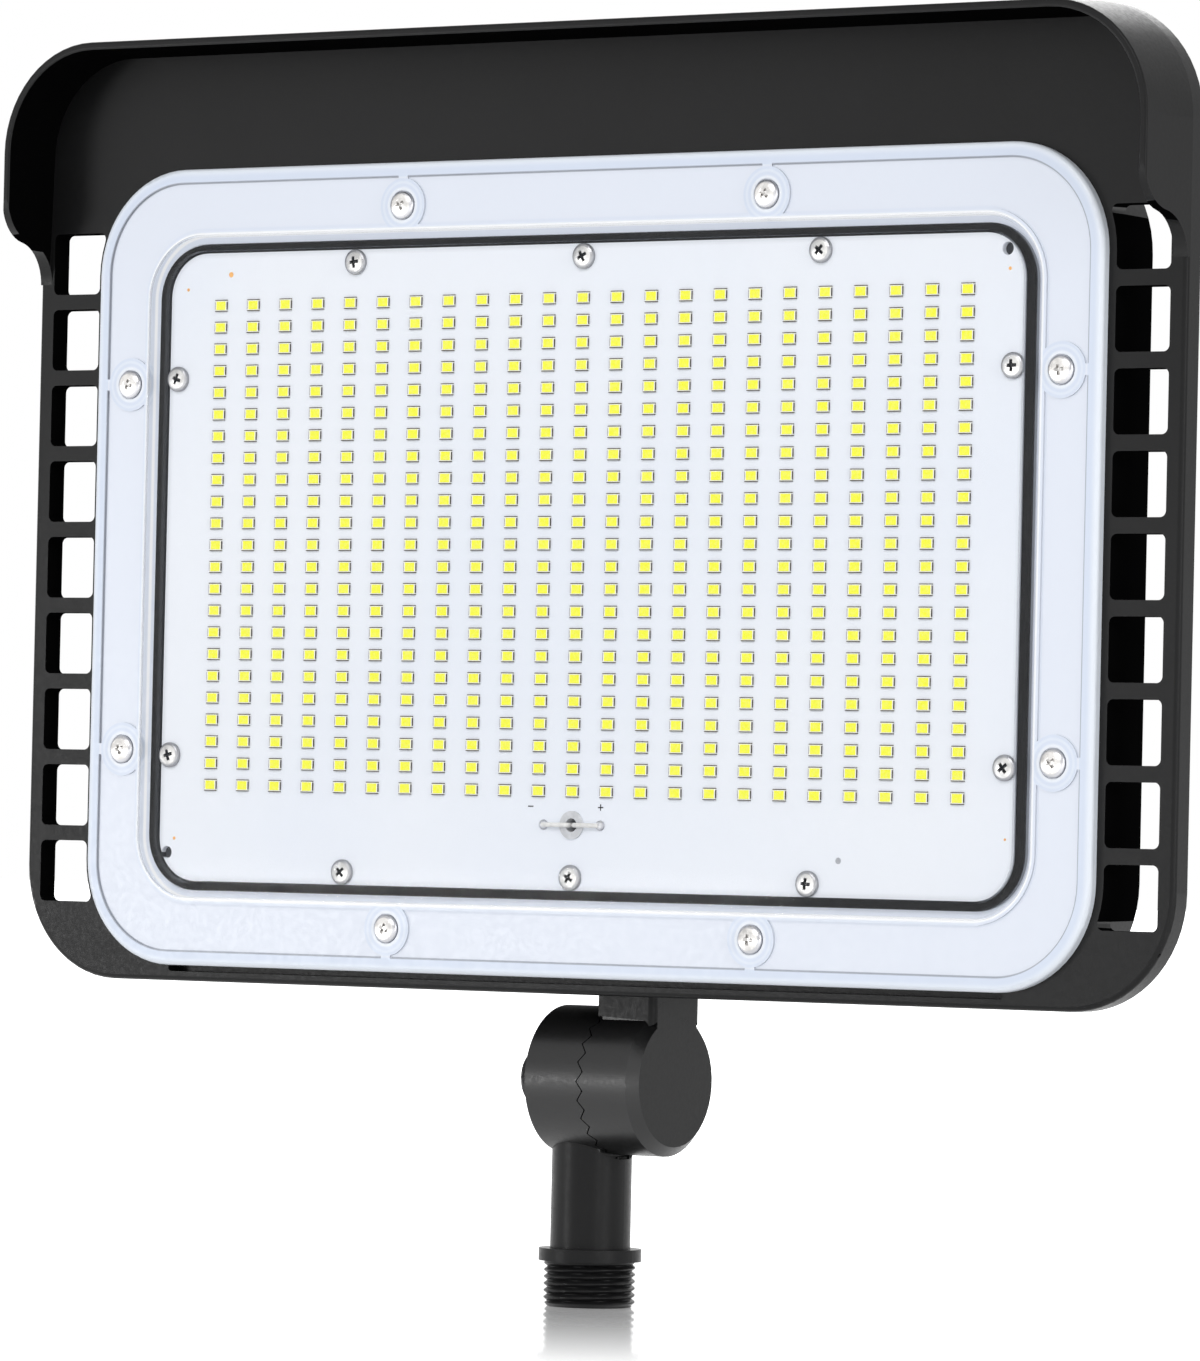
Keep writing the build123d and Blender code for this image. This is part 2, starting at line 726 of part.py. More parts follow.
lens.part.label = "lens"

with BuildPart() as lens_screws:
    screws(lens_screw_places, flange_t - boss_seat_depth, lens_screw, lens_screw_len)
lens_screws.part.label = "lens_screws"

# Driver with an ear at each end, and its screws
with BuildPart() as driver:
    with BuildSketch(front(-plate_t - post_h)):
        with Locations((0, driver_z)):
            Rectangle(driver_w, driver_h)
    extrude(amount=-driver_t)
    with BuildSketch(front(-plate_t - post_h)):
        with Locations((0, driver_z)):
            Rectangle(driver_w - 2 * driver_ear_inset, driver_h + 2 * driver_ear)
        with Locations(*driver_screw_places):
            Circle(driver_screw[2] / 2 + clearance_fit, mode=Mode.SUBTRACT)
    extrude(amount=-driver_ear_t)
driver.part.label = "driver"

with BuildPart() as driver_screws:
    screws(driver_screw_places, -plate_t - post_h - driver_ear_t, driver_screw, driver_screw_len, forward=-1)
driver_screws.part.label = "driver_screws"

with BuildPart() as earth_screw:
    screws([(earth_x, earth_z)], -plate_t - post_h, driver_screw, driver_screw_len - driver_ear_t, forward=-1)
earth_screw.part.label = "earth_screw"

# Gasket, cover and screws of the compartment
with BuildPart() as driver_cover_gasket:
    with BuildSketch(front(-comp_depth)):
        with Locations((0, comp_mid)):
            inset = comp_gasket_inset
            RectangleRounded(comp_w - 2 * inset, comp_h - 2 * inset, comp_corner_r - inset)
            gap_w = comp_w - 2 * comp_wall
            gap_h = comp_h - 2 * comp_wall
            RectangleRounded(gap_w, gap_h, comp_corner_r - comp_wall, mode=Mode.SUBTRACT)
    extrude(amount=-comp_gasket_t)
driver_cover_gasket.part.label = "driver_cover_gasket"

with BuildPart() as driver_cover:
    with BuildSketch(front(-comp_depth - comp_gasket_t)):
        with Locations((0, comp_mid)):
            RectangleRounded(comp_w, comp_h, comp_corner_r)
    extrude(amount=-cover_t)
    chamfer(driver_cover.faces().sort_by(Axis.Y)[-1].edges(), cover_chamfer)
    with BuildSketch(front(-comp_depth - comp_gasket_t - cover_t)):
        with Locations((0, comp_mid)):
            with GridLocations(cover_rib_pitch, 1, cover_rib_count, 1):
                Rectangle(cover_rib_w, comp_h - 2 * cover_rib_inset)
    extrude(amount=-cover_rib_h)
    with BuildSketch(front(-comp_depth - comp_gasket_t)):
        with Locations(*cover_screw_places):
            Circle(cover_screw[2] / 2 + clearance_fit)
    extrude(amount=-cover_t, mode=Mode.SUBTRACT)
driver_cover.part.label = "driver_cover"

with BuildPart() as driver_cover_screws:
    screws(cover_screw_places, -comp_depth - comp_gasket_t - cover_t, cover_screw, cover_screw_len, forward=-1)
driver_cover_screws.part.label = "driver_cover_screws"

export_step(housing.part, "parts/housing.step")
export_step(lens.part, "parts/lens.step")
export_step(lens_gasket.part, "parts/lens_gasket.step")
export_step(lens_screws.part, "parts/lens_screws.step")
export_step(led_board.part, "parts/led_board.step")
export_step(led_packages.part, "parts/led_packages.step")
export_step(board_screws.part, "parts/board_screws.step")
export_step(thermal_pad.part, "parts/thermal_pad.step")
export_step(wire_grommet.part, "parts/wire_grommet.step")
export_step(led_lead_positive.part, "parts/led_lead_positive.step")
export_step(led_lead_negative.part, "parts/led_lead_negative.step")
export_step(solder_joints.part, "parts/solder_joints.step")
export_step(driver.part, "parts/driver.step")
export_step(driver_screws.part, "parts/driver_screws.step")
export_step(earth_screw.part, "parts/earth_screw.step")
export_step(driver_cover_gasket.part, "parts/driver_cover_gasket.step")
export_step(driver_cover.part, "parts/driver_cover.step")
export_step(driver_cover_screws.part, "parts/driver_cover_screws.step")
export_step(lower_knuckle.part, "parts/lower_knuckle.step")
export_step(knuckle_bolt.part, "parts/knuckle_bolt.step")
export_step(knuckle_flat_washer.part, "parts/knuckle_flat_washer.step")
export_step(knuckle_spring_washer.part, "parts/knuckle_spring_washer.step")
export_step(knuckle_seal.part, "parts/knuckle_seal.step")
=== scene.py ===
"""A black cast LED flood light: its finishes, lens, packages, screws and thread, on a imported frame."""

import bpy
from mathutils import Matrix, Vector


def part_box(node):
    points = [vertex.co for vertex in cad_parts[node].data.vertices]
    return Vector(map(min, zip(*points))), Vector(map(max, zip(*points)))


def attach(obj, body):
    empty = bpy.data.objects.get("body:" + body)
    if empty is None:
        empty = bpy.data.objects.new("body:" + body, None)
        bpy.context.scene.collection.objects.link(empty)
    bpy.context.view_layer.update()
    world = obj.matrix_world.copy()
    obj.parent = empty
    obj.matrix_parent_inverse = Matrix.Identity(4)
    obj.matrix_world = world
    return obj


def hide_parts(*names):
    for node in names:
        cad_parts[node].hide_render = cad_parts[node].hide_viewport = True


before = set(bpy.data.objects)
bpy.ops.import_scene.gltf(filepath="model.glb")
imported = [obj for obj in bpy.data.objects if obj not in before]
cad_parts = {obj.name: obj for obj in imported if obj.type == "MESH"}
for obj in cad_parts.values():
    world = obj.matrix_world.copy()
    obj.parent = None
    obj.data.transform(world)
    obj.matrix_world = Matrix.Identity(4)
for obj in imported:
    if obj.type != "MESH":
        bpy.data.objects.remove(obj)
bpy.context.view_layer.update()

import math

import bmesh
import bpy
from bpy.props import FloatProperty, FloatVectorProperty, IntProperty, PointerProperty
from mathutils import Matrix, Vector

bl_info = {
    "name": "Flood light",
    "version": (1, 0, 0),
    "blender": (4, 5, 0),
    "location": "3D View > Sidebar > Flood light",
    "description": "Dresses a cast LED flood light: powder coat, lens, board, packages, screws and thread",
    "category": "Object",
}

MM = 0.001

# Points closer together than the first are joined. The second is the air under what is put on the board.
WELD = 0.002 * MM
AIR = 0.002 * MM


def box(node):
    """The lowest and the highest corner of a CAD node, as vectors."""
    low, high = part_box(node)
    return Vector(low), Vector(high)


def middle(node):
    """The centre of a CAD node's box."""
    low, high = box(node)
    return (low + high) / 2


LENS_LOW, LENS_HIGH = box("lens")
LENS_CENTRE = Vector(((LENS_LOW.x + LENS_HIGH.x) / 2, LENS_HIGH.y, (LENS_LOW.z + LENS_HIGH.z) / 2))
BOARD_FRONT = box("led_board")[0].y
PIVOT = Vector((7.6 * MM, 0.0, 42.3 * MM))
KNUCKLE_RADIUS = 17.3

# Places on the lens and the board, in millimetres from the lens centre, and the width of the dots
LENS_SCREW_PLACES = [(51.5, 85.0), (131.5, 43.8)]
BOARD_SCREW_PLACES = [(x, z) for x in (-65.8, 0.0, 65.8) for z in (-72.0, 72.0)]
BOARD_SCREW_PLACES += [(x, z) for x in (-118.0, 118.0) for z in (-45.0, 45.0)]
COPPER_DOTS = [
    (-103.0, 69.8, 1.3), (-115.8, 66.4, 0.8), (116.5, 66.8, 0.8), (-116.3, -64.9, 0.8), (118.3, -61.0, 0.6),
]
GREY_DOTS = [(73.9, -66.6, 1.5)]
PAD_X = 8.0
MINUS_X, PLUS_X = -11.8, 8.0
WIRES_Z = -59.8
MARK_RISE = 4.2

# Corner radius of each outline, and how far outside the gasket the clear window begins, in millimetres
CORNERS = {"lens": 25.0, "lens_gasket": 13.0, "led_board": 10.5}
WINDOW_STEP = 2.4

# Radius and height of each head, radius and length of its shank, in millimetres
LENS_SCREW = (3.35, 1.9, 2.0, 10.0)
BOARD_SCREW = (3.0, 1.4, 1.5, 4.6)
COVER_SCREW = (4.0, 2.4, 2.5, 14.0)

# Paler tints on the plastic, painted highlights along its rim and on the window's step, and a painted shadow
# line at a step
OUTER_EDGE_HIGHLIGHT = (0.88, 0.92, 0.97)
PALE_RIM = (0.85, 0.89, 0.95)
PALE_SEAT = (0.87, 0.90, 0.95)
STEP_HIGHLIGHT = (0.95, 0.96, 0.98)
STEP_SHADOW_LINE = (0.27, 0.29, 0.34)


def mirrored(places):
    """Each place in all four quarters."""
    return [(sx * x, sz * z) for x, z in places for sx in (-1, 1) for sz in (-1, 1)]


def on_lens(x, z, y):
    """A point from its place on the lens, in millimetres, at a depth in metres."""
    return Vector((LENS_CENTRE.x + x * MM, y, LENS_CENTRE.z + z * MM))


def length_property(name, description, default, least=0.0):
    """A length. Its default and its least value are in millimetres."""
    return FloatProperty(
        name=name, description=description, unit="LENGTH", min=least * MM, default=default * MM,
    )


def angle_property(name, description, degrees):
    """An angle. Its default is in degrees."""
    return FloatProperty(name=name, description=description, subtype="ANGLE", default=math.radians(degrees))


def colour_property(name, description, default):
    """A colour."""
    return FloatVectorProperty(
        name=name, description=description, subtype="COLOR", size=3, min=0, max=1, default=default,
    )


class CastingFinish(bpy.types.PropertyGroup):
    """The powder coat of the castings."""

    colour: colour_property("Colour", "Colour of the powder coat", (0.007, 0.007, 0.0073))
    roughness: FloatProperty(
        name="Roughness", description="Mean roughness of the coat", min=0.05, max=1, default=0.35,
    )
    grain: length_property("Grain", "Width of the coat's fine grain", 0.9, 0.2)
    relief: length_property("Relief", "Height of the coat's fine grain", 0.03)


class LensFinish(bpy.types.PropertyGroup):
    """The clear window and the frosted flange of the lens."""

    frosted: colour_property("Frosted", "Colour of the flat frosted flange", (0.76, 0.80, 0.89))
    bluish: colour_property("Bluish", "Colour of the bands and bosses", (0.67, 0.735, 0.86))
    haze: FloatProperty(
        name="Haze", description="How much of the board the window hides", min=0, max=1, default=0.015,
    )
    band: length_property("Outer band", "Width of the flange's outer band", 3.4)
    inner_band: length_property("Inner band", "Width of the band round the window", 4.2)
    boss: length_property("Boss", "Radius of a screw boss", 6.4)


class PackageSizes(bpy.types.PropertyGroup):
    """The light packages on the board."""

    across: IntProperty(name="Across", description="Packages in a row", min=2, default=23)
    down: IntProperty(name="Down", description="Rows of packages", min=2, default=23)
    width: length_property("Width", "Width of one package", 3.5, 1.0)
    height: length_property("Height", "Height of one package", 2.8, 1.0)
    phosphor: colour_property("Phosphor", "Colour of the yellow face", (1.0, 1.0, 0.04))
    # The dark edges are terminals and painted shade along each package's sides
    edge: colour_property("Edge", "Colour of the dark metal edges", (0.05, 0.035, 0.012))


class ScrewSizes(bpy.types.PropertyGroup):
    """The cross recess of the screws."""

    recess_width: length_property("Recess width", "Width of an arm of the cross", 0.85)
    recess_span: length_property("Recess span", "Tip to tip of the cross", 3.3)
    recess_depth: length_property("Recess depth", "Depth of the cross", 1.2)


class ThreadSizes(bpy.types.PropertyGroup):
    """The pipe thread under the collar."""

    pitch: length_property("Pitch", "From crest to crest", 1.6, 0.5)
    depth: length_property("Depth", "From crest to root", 0.85)


class StageSettings(bpy.types.PropertyGroup):
    """Camera, lamps and floor."""

    azimuth: angle_property("Azimuth", "How far right of the front the camera stands", 34.998)
    elevation: angle_property("Elevation", "Height angle of the camera", -1.09)
    roll: angle_property("Roll", "Roll of the camera", 1.282)
    distance: FloatProperty(
        name="Distance", description="From the packages to the camera, along its view", unit="LENGTH",
        min=0.1, default=1.9442,
    )
    beside: FloatProperty(
        name="Beside", description="How far right of the packages' middle the view is aimed", unit="LENGTH",
        default=5.041 * MM,
    )
    below: FloatProperty(
        name="Below", description="How far below the packages' middle the view is aimed", unit="LENGTH",
        default=31.507 * MM,
    )
    lens_mm: FloatProperty(
        name="Lens", description="Focal length in millimetres on a 36 mm frame", min=10, default=222.16,
    )
    key: FloatProperty(name="Key", description="Power of the key lamp in watts", min=0, default=23.2)
    world: FloatProperty(name="World", description="Strength of the even light", min=0, default=0.61)


class FloodLight(bpy.types.PropertyGroup):
    """Everything that a user would change."""

    casting: PointerProperty(type=CastingFinish)
    lens: PointerProperty(type=LensFinish)
    packages: PointerProperty(type=PackageSizes)
    screws: PointerProperty(type=ScrewSizes)
    thread: PointerProperty(type=ThreadSizes)
    stage: PointerProperty(type=StageSettings)


def put(tree, kind, inputs=None, **fields):
    """Add a node, set its fields, and fill or link its inputs, by name or number."""
    node = tree.nodes.new(kind)
    for field, value in fields.items():
        setattr(node, field, value)
    for key, value in (inputs or {}).items():
        if isinstance(value, bpy.types.NodeSocket):
            tree.links.new(value, node.inputs[key])
        else:
            node.inputs[key].default_value = value
    return node


def calc(tree, operation, a, b=0.0):
    """The output of a Math node."""
    return put(tree, "ShaderNodeMath", {0: a, 1: b}, operation=operation).outputs[0]


def times(tree, a, b):
    """The product of two values."""
    return calc(tree, "MULTIPLY", a, b)


def less(tree, a, b):
    """One value less another."""
    return calc(tree, "SUBTRACT", a, b)


def apart(tree, a, b):
    """The distance between two values."""
    return calc(tree, "ABSOLUTE", less(tree, a, b))


def hypotenuse(tree, a, b):
    """The root of the sum of two squares."""
    return calc(tree, "SQRT", calc(tree, "ADD", calc(tree, "POWER", a, 2.0), calc(tree, "POWER", b, 2.0)))


def mottle(tree, coords, scale, detail=2.0):
    """Soft random values, most of them from 0.3 to 0.7."""
    return put(tree, "ShaderNodeTexNoise", {"Vector": coords, "Scale": scale, "Detail": detail}).outputs[0]


def ramp(tree, value, low, high, to_low=0.0, to_high=1.0):
    """A smooth step of a value from one level to another."""
    inputs = {"Value": value, "From Min": low, "From Max": high, "To Min": to_low, "To Max": to_high}
    return put(tree, "ShaderNodeMapRange", inputs, interpolation_type="SMOOTHSTEP").outputs[0]


def blend(tree, share, first, second):
    """A colour between two colours."""
    ends = [c if isinstance(c, bpy.types.NodeSocket) else (*c, 1.0) for c in (first, second)]
    return put(tree, "ShaderNodeMix", {0: share, 6: ends[0], 7: ends[1]}, data_type="RGBA").outputs[2]


def mix_shaders(tree, share, first, second):
    """A shader node between two shader nodes."""
    return put(tree, "ShaderNodeMixShader", {0: share, 1: first.outputs[0], 2: second.outputs[0]})


def new_group(name, kind, inputs, outputs):
    """A node group with named sockets: its tree, the input node's outputs and its output node."""
    tree = bpy.data.node_groups.new(name, kind)
    for label, socket, default in inputs:
        made = tree.interface.new_socket(label, in_out="INPUT", socket_type=socket)
        if default is not None:
            made.default_value = default
    for label, socket in outputs:
        tree.interface.new_socket(label, in_out="OUTPUT", socket_type=socket)
    return tree, tree.nodes.new("NodeGroupInput").outputs, tree.nodes.new("NodeGroupOutput")


def use_group(tree, group, inputs):
    """Place a node group in a tree and give its outputs."""
    return put(tree, "ShaderNodeGroup", inputs, node_tree=group).outputs


def powder_coat_group():
    """Fine orange peel with faint patches: colour, roughness and height."""
    name = "Powder coat"
    if name in bpy.data.node_groups:
        return bpy.data.node_groups[name]
    tree, given, out = new_group(
        name, "ShaderNodeTree",
        [("Vector", "NodeSocketVector", None), ("Colour", "NodeSocketColor", None),
         ("Roughness", "NodeSocketFloat", 0.5), ("Grains per metre", "NodeSocketFloat", 1000.0)],
        [("Colour", "NodeSocketColor"), ("Roughness", "NodeSocketFloat"), ("Height", "NodeSocketFloat")],
    )
    grain = put(tree, "ShaderNodeTexNoise", {
        "Vector": given["Vector"], "Scale": given["Grains per metre"], "Detail": 2.0, "Roughness": 0.55,
    }).outputs[0]
    patch = mottle(tree, given["Vector"], 22.0, 3.0)
    level = calc(tree, "ADD", times(tree, ramp(tree, patch, 0.3, 0.7), 0.22), 0.89)
    colour = put(tree, "ShaderNodeVectorMath", {0: given["Colour"], "Scale": level}, operation="SCALE")
    tree.links.new(colour.outputs[0], out.inputs["Colour"])
    wander = times(tree, less(tree, grain, 0.5), 0.25)
    tree.links.new(calc(tree, "ADD", given["Roughness"], wander), out.inputs["Roughness"])
    tree.links.new(grain, out.inputs["Height"])
    return tree


def rounded_outline_group():
    """Signed distance in the XZ plane from a rounded rectangle round the origin: below 0 inside it."""
    name = "Rounded outline"
    if name in bpy.data.node_groups:
        return bpy.data.node_groups[name]
    tree, given, out = new_group(
        name, "ShaderNodeTree",
        [("Vector", "NodeSocketVector", None), ("Half width", "NodeSocketFloat", 0.1),
         ("Half height", "NodeSocketFloat", 0.1), ("Corner", "NodeSocketFloat", 0.01)],
        [("Distance", "NodeSocketFloat")],
    )
    parts = put(tree, "ShaderNodeSeparateXYZ", {0: given["Vector"]}).outputs
    past = []
    for axis, half in (("X", "Half width"), ("Z", "Half height")):
        straight = less(tree, given[half], given["Corner"])
        past.append(less(tree, calc(tree, "ABSOLUTE", parts[axis]), straight))
    outside = hypotenuse(tree, *(calc(tree, "MAXIMUM", p, 0.0) for p in past))
    inside = calc(tree, "MINIMUM", calc(tree, "MAXIMUM", past[0], past[1]), 0.0)
    far = calc(tree, "ADD", outside, inside)
    tree.links.new(less(tree, far, given["Corner"]), out.inputs["Distance"])
    return tree


def nearest_boss(tree, place):
    """Distance in the XZ plane from the nearest lens screw, and from its line to the lens's edge."""
    parts = put(tree, "ShaderNodeSeparateXYZ", {0: place}).outputs
    x, z = (calc(tree, "ABSOLUTE", parts[axis]) for axis in ("X", "Z"))
    (top_x, top_z), (side_x, side_z) = (
        (less(tree, x, place_x * MM), less(tree, z, place_z * MM)) for place_x, place_z in LENS_SCREW_PLACES)
    distance = calc(tree, "MINIMUM", hypotenuse(tree, top_x, top_z), hypotenuse(tree, side_x, side_z))
    across = calc(tree, "MINIMUM", calc(tree, "ABSOLUTE", top_x), calc(tree, "ABSOLUTE", side_z))
    return distance, across


def new_material(name):
    """A material with its tree, its Principled shader and its object coordinates."""
    material = bpy.data.materials.new(name)
    material.use_nodes = True
    tree = material.node_tree
    shader = tree.nodes["Principled BSDF"]
    coords = put(tree, "ShaderNodeTexCoord").outputs["Object"]
    return material, tree, shader, coords


def link(tree, source, shader, name):
    """Link a socket to a named input of the shader."""
    tree.links.new(source, shader.inputs[name])


def bump(tree, shader, height, distance, strength=1.0):
    """Give the shader a normal from a height."""
    node = put(tree, "ShaderNodeBump", {"Height": height, "Distance": distance, "Strength": strength})
    link(tree, node.outputs[0], shader, "Normal")


def seen_directly(tree):
    """1 for what the camera, metal and glass see, 0 for light on its way to a surface."""
    path = put(tree, "ShaderNodeLightPath").outputs
    metal_or_glass = calc(tree, "MAXIMUM", path["Is Glossy Ray"], path["Is Transmission Ray"])
    return calc(tree, "MAXIMUM", path["Is Camera Ray"], metal_or_glass)


def casting_material(name, settings, level=1.0, duller=0.0, specular=0.16):
    """Semi-matte black powder coat; a level under 1 and a duller finish make a darker copy for painted shade.
    """
    material, tree, shader, coords = new_material(name)
    coat = use_group(tree, powder_coat_group(), {
        "Vector": coords, "Colour": (*(c * level for c in settings.colour), 1.0),
        "Roughness": settings.roughness + duller, "Grains per metre": 1 / settings.grain,
    })
    link(tree, coat["Colour"], shader, "Base Color")
    link(tree, coat["Roughness"], shader, "Roughness")
    shader.inputs["Specular IOR Level"].default_value = specular
    bump(tree, shader, coat["Height"], settings.relief, 0.5)
    return material


def polish_knuckle(piece, sheen):
    """Give the round side and the chamfer of a knuckle half the coat with more sheen."""
    chamfer, margin, half_width = 2.1, 0.3, 16.0
    piece.data.materials.append(sheen)
    last = len(piece.data.materials) - 1
    for face in piece.data.polygons:
        place = (face.center - PIVOT) / MM
        outer = KNUCKLE_RADIUS - chamfer < math.hypot(place.y, place.z) < KNUCKLE_RADIUS + margin
        if outer and abs(place.x) < half_width and abs(face.normal.x) < 0.95:
            face.material_index = last


def speckled_material(name, colour, roughness, scale, spread=0.12, relief=0.0, specular=0.5):
    """A plain finish with fine variation: rubber, moulded plastic, ink or a pad."""
    material, tree, shader, coords = new_material(name)
    noise = mottle(tree, coords, scale, 3.0)
    pale = tuple(min(c * (1 + spread), 1.0) for c in colour)
    dark = tuple(c * (1 - spread) for c in colour)
    link(tree, blend(tree, ramp(tree, noise, 0.3, 0.7), dark, pale), shader, "Base Color")
    link(tree, ramp(tree, noise, 0.3, 0.7, roughness * 0.85, roughness * 1.15), shader, "Roughness")
    shader.inputs["Specular IOR Level"].default_value = specular
    if relief:
        bump(tree, shader, noise, relief, 0.5)
    return material


def centred(tree, coords):
    """Object coordinates counted from the lens centre."""
    return put(tree, "ShaderNodeMapping", {"Vector": coords, "Location": tuple(-LENS_CENTRE)}).outputs[0]


def outline_distance(tree, place, node):
    """Distance from a node's outline, seen from the front."""
    low, high = box(node)
    half = (high - low) / 2
    return use_group(tree, rounded_outline_group(), {
        "Vector": place, "Half width": half.x, "Half height": half.z, "Corner": CORNERS[node] * MM,
    })["Distance"]


def flange_colour(tree, settings, place, edge, ring):
    """The frosted flange, with what is paler, darker or more bluish on it laid over it in order, painted
    highlights and a painted shadow among them.
    """
    from_screw, across_neck = nearest_boss(tree, place)
    boss, band, inner = settings.boss, settings.band, settings.inner_band
    rim = apart(tree, from_screw, boss - 1.0 * MM)
    from_band = calc(tree, "ABSOLUTE", calc(tree, "ADD", edge, band))
    step_shadow = ramp(tree, from_band, 0.34 * MM, 0.1 * MM, 0.0, 0.8)
    off_necks = ramp(tree, across_neck, 1.2 * MM, 1.5 * MM)
    window_line = apart(tree, ring, WINDOW_STEP * MM)
    layers = (
        # The outer band, paler towards its edge with a painted highlight along its rounded rim
        (ramp(tree, edge, -band - 0.2 * MM, -band + 0.1 * MM), settings.bluish),
        (ramp(tree, edge, -2.2 * MM, -0.3 * MM, 0.0, 0.75), OUTER_EDGE_HIGHLIGHT),
        # The band round the window
        (ramp(tree, ring, inner, inner - 0.5 * MM, 0.0, 0.35), settings.bluish),
        # The bosses, with a pale rim and a pale seat for the screw
        (ramp(tree, from_screw, boss + 0.3 * MM, boss - 0.3 * MM, 0.0, 0.9), settings.bluish),
        (ramp(tree, rim, 0.5 * MM, 0.1 * MM, 0.0, 0.35), PALE_RIM),
        (ramp(tree, from_screw, 4.6 * MM, 3.9 * MM, 0.0, 0.8), PALE_SEAT),
        # Painted shadow of the step inside the outer band, open where a boss's neck crosses it, and a painted
        # highlight on the window's step
        (times(tree, step_shadow, off_necks), STEP_SHADOW_LINE),
        (ramp(tree, window_line, 0.7 * MM, 0.2 * MM), STEP_HIGHLIGHT),
    )
    colour = settings.frosted
    for share, tint in layers:
        colour = blend(tree, share, colour, tint)
    return colour


def frosted_share(tree, place, ring):
    """1 where the plastic is frosted. The back is frosted closer to the gasket than the front."""
    depth = calc(tree, "ABSOLUTE", put(tree, "ShaderNodeSeparateXYZ", {0: place}).outputs["Y"])
    at_back = ramp(tree, depth, 0.35 * MM, 0.25 * MM)
    on_back = times(tree, at_back, ramp(tree, ring, 0.02 * MM, 0.15 * MM))
    on_front = ramp(tree, ring, (WINDOW_STEP - 0.2) * MM, (WINDOW_STEP + 0.2) * MM)
    return calc(tree, "MAXIMUM", on_front, on_back)


def plastic_alpha(tree, settings, frosted):
    """Clear in the window, hazier at a flat angle, and thin for light on its way to what lies below."""
    fresnel = put(tree, "ShaderNodeFresnel", {"IOR": 1.45}).outputs[0]
    clear = ramp(tree, fresnel, 0.05, 0.6, settings.haze, 0.45)
    alpha = calc(tree, "ADD", clear, times(tree, frosted, less(tree, 1.0, clear)))
    path = put(tree, "ShaderNodeLightPath").outputs
    light = calc(tree, "MAXIMUM", path["Is Shadow Ray"], path["Is Diffuse Ray"])
    return times(tree, alpha, less(tree, 1.0, times(tree, light, 0.8)))


def lens_material(settings):
    """One clear moulding: a clear window, and a frosted flange with bluish bands and bosses."""
    material, tree, shader, coords = new_material("lens_moulding")
    place = centred(tree, coords)
    edge = outline_distance(tree, place, "lens")
    ring = outline_distance(tree, place, "lens_gasket")
    link(tree, flange_colour(tree, settings, place, edge, ring), shader, "Base Color")
    frosted = frosted_share(tree, place, ring)
    link(tree, plastic_alpha(tree, settings, frosted), shader, "Alpha")
    rough = times(tree, frosted, ramp(tree, mottle(tree, coords, 700.0), 0.3, 0.7, 0.26, 0.36))
    link(tree, calc(tree, "ADD", rough, 0.04), shader, "Roughness")
    return material


def board_material():
    """White solder mask, a little bluish, with painted shade greying it at its edge."""
    material, tree, shader, coords = new_material("solder_mask")
    edge = outline_distance(tree, centred(tree, coords), "led_board")
    patch = ramp(tree, mottle(tree, coords, 9.0), 0.35, 0.65)
    colour = blend(tree, patch, (0.85, 0.885, 0.955), (0.89, 0.915, 0.965))
    # Painted shade: greyer towards the board's edge
    colour = blend(tree, ramp(tree, edge, -1.6 * MM, -0.1 * MM, 0.0, 0.5), colour, (0.62, 0.64, 0.68))
    link(tree, colour, shader, "Base Color")
    peel = mottle(tree, coords, 350.0)
    link(tree, ramp(tree, peel, 0.3, 0.7, 0.4, 0.52), shader, "Roughness")
    shader.inputs["Specular IOR Level"].default_value = 0.15
    bump(tree, shader, peel, 0.02 * MM, 0.3)
    return material


def phosphor_material(colour):
    """Yellow silicone, a little paler in places."""
    material, tree, shader, coords = new_material("phosphor")
    noise = mottle(tree, coords, 1500.0)
    pale = tuple(min(1.0, c + 0.1) for c in colour)
    link(tree, blend(tree, ramp(tree, noise, 0.35, 0.7), colour, pale), shader, "Base Color")
    link(tree, ramp(tree, noise, 0.3, 0.7, 0.4, 0.55), shader, "Roughness")
    shader.inputs["Specular IOR Level"].default_value = 0.1
    return material


def plated_material(name, colour, roughness, rim=None, recess=None):
    """Plated steel with a darker film in places and, where given, painted shade: a greyer rim round the head
    and a darker recess.
    """
    material, tree, shader, coords = new_material(name)
    film = mottle(tree, coords, 420.0, 4.0)
    dark = tuple(c * 0.62 for c in colour)
    finish = blend(tree, ramp(tree, film, 0.3, 0.62), dark, colour)
    # Painted shade: greyer on the head's rounded rim, darker in the cross recess
    for field, tint, low, high in (("out", rim, 0.72, 0.82), ("sunk", recess, 0.05, 0.4)):
        if tint:
            level = put(tree, "ShaderNodeAttribute", attribute_name=field).outputs["Fac"]
            finish = blend(tree, ramp(tree, level, low, high), finish, tint)
    link(tree, finish, shader, "Base Color")
    link(tree, ramp(tree, film, 0.3, 0.7, roughness * 1.3, roughness * 0.8), shader, "Roughness")
    shader.inputs["Metallic"].default_value = 1.0
    bump(tree, shader, film, 0.02 * MM, 0.4)
    return material


def circle(steps):
    """The angles of a full turn in equal steps."""
    return [2 * math.pi * k / steps for k in range(steps)]


def shade(mesh, smooth_under):
    """Smooth faces, sharp where two meet at more than this many degrees."""
    mesh.shade_smooth()
    mesh.set_sharp_from_angle(angle=math.radians(smooth_under))


def new_piece(name, mesh, smooth_under=40.0):
    """A mesh as an object at the origin, smooth where its faces meet under an angle in degrees."""
    shade(mesh, smooth_under)
    piece = bpy.data.objects.new(name, mesh)
    bpy.context.scene.collection.objects.link(piece)
    return piece


def from_points(name, points, faces):
    """A mesh object from plain points and faces."""
    mesh = bpy.data.meshes.new(name)
    mesh.from_pydata([tuple(p) for p in points], [], faces)
    mesh.update()
    return new_piece(name, mesh)


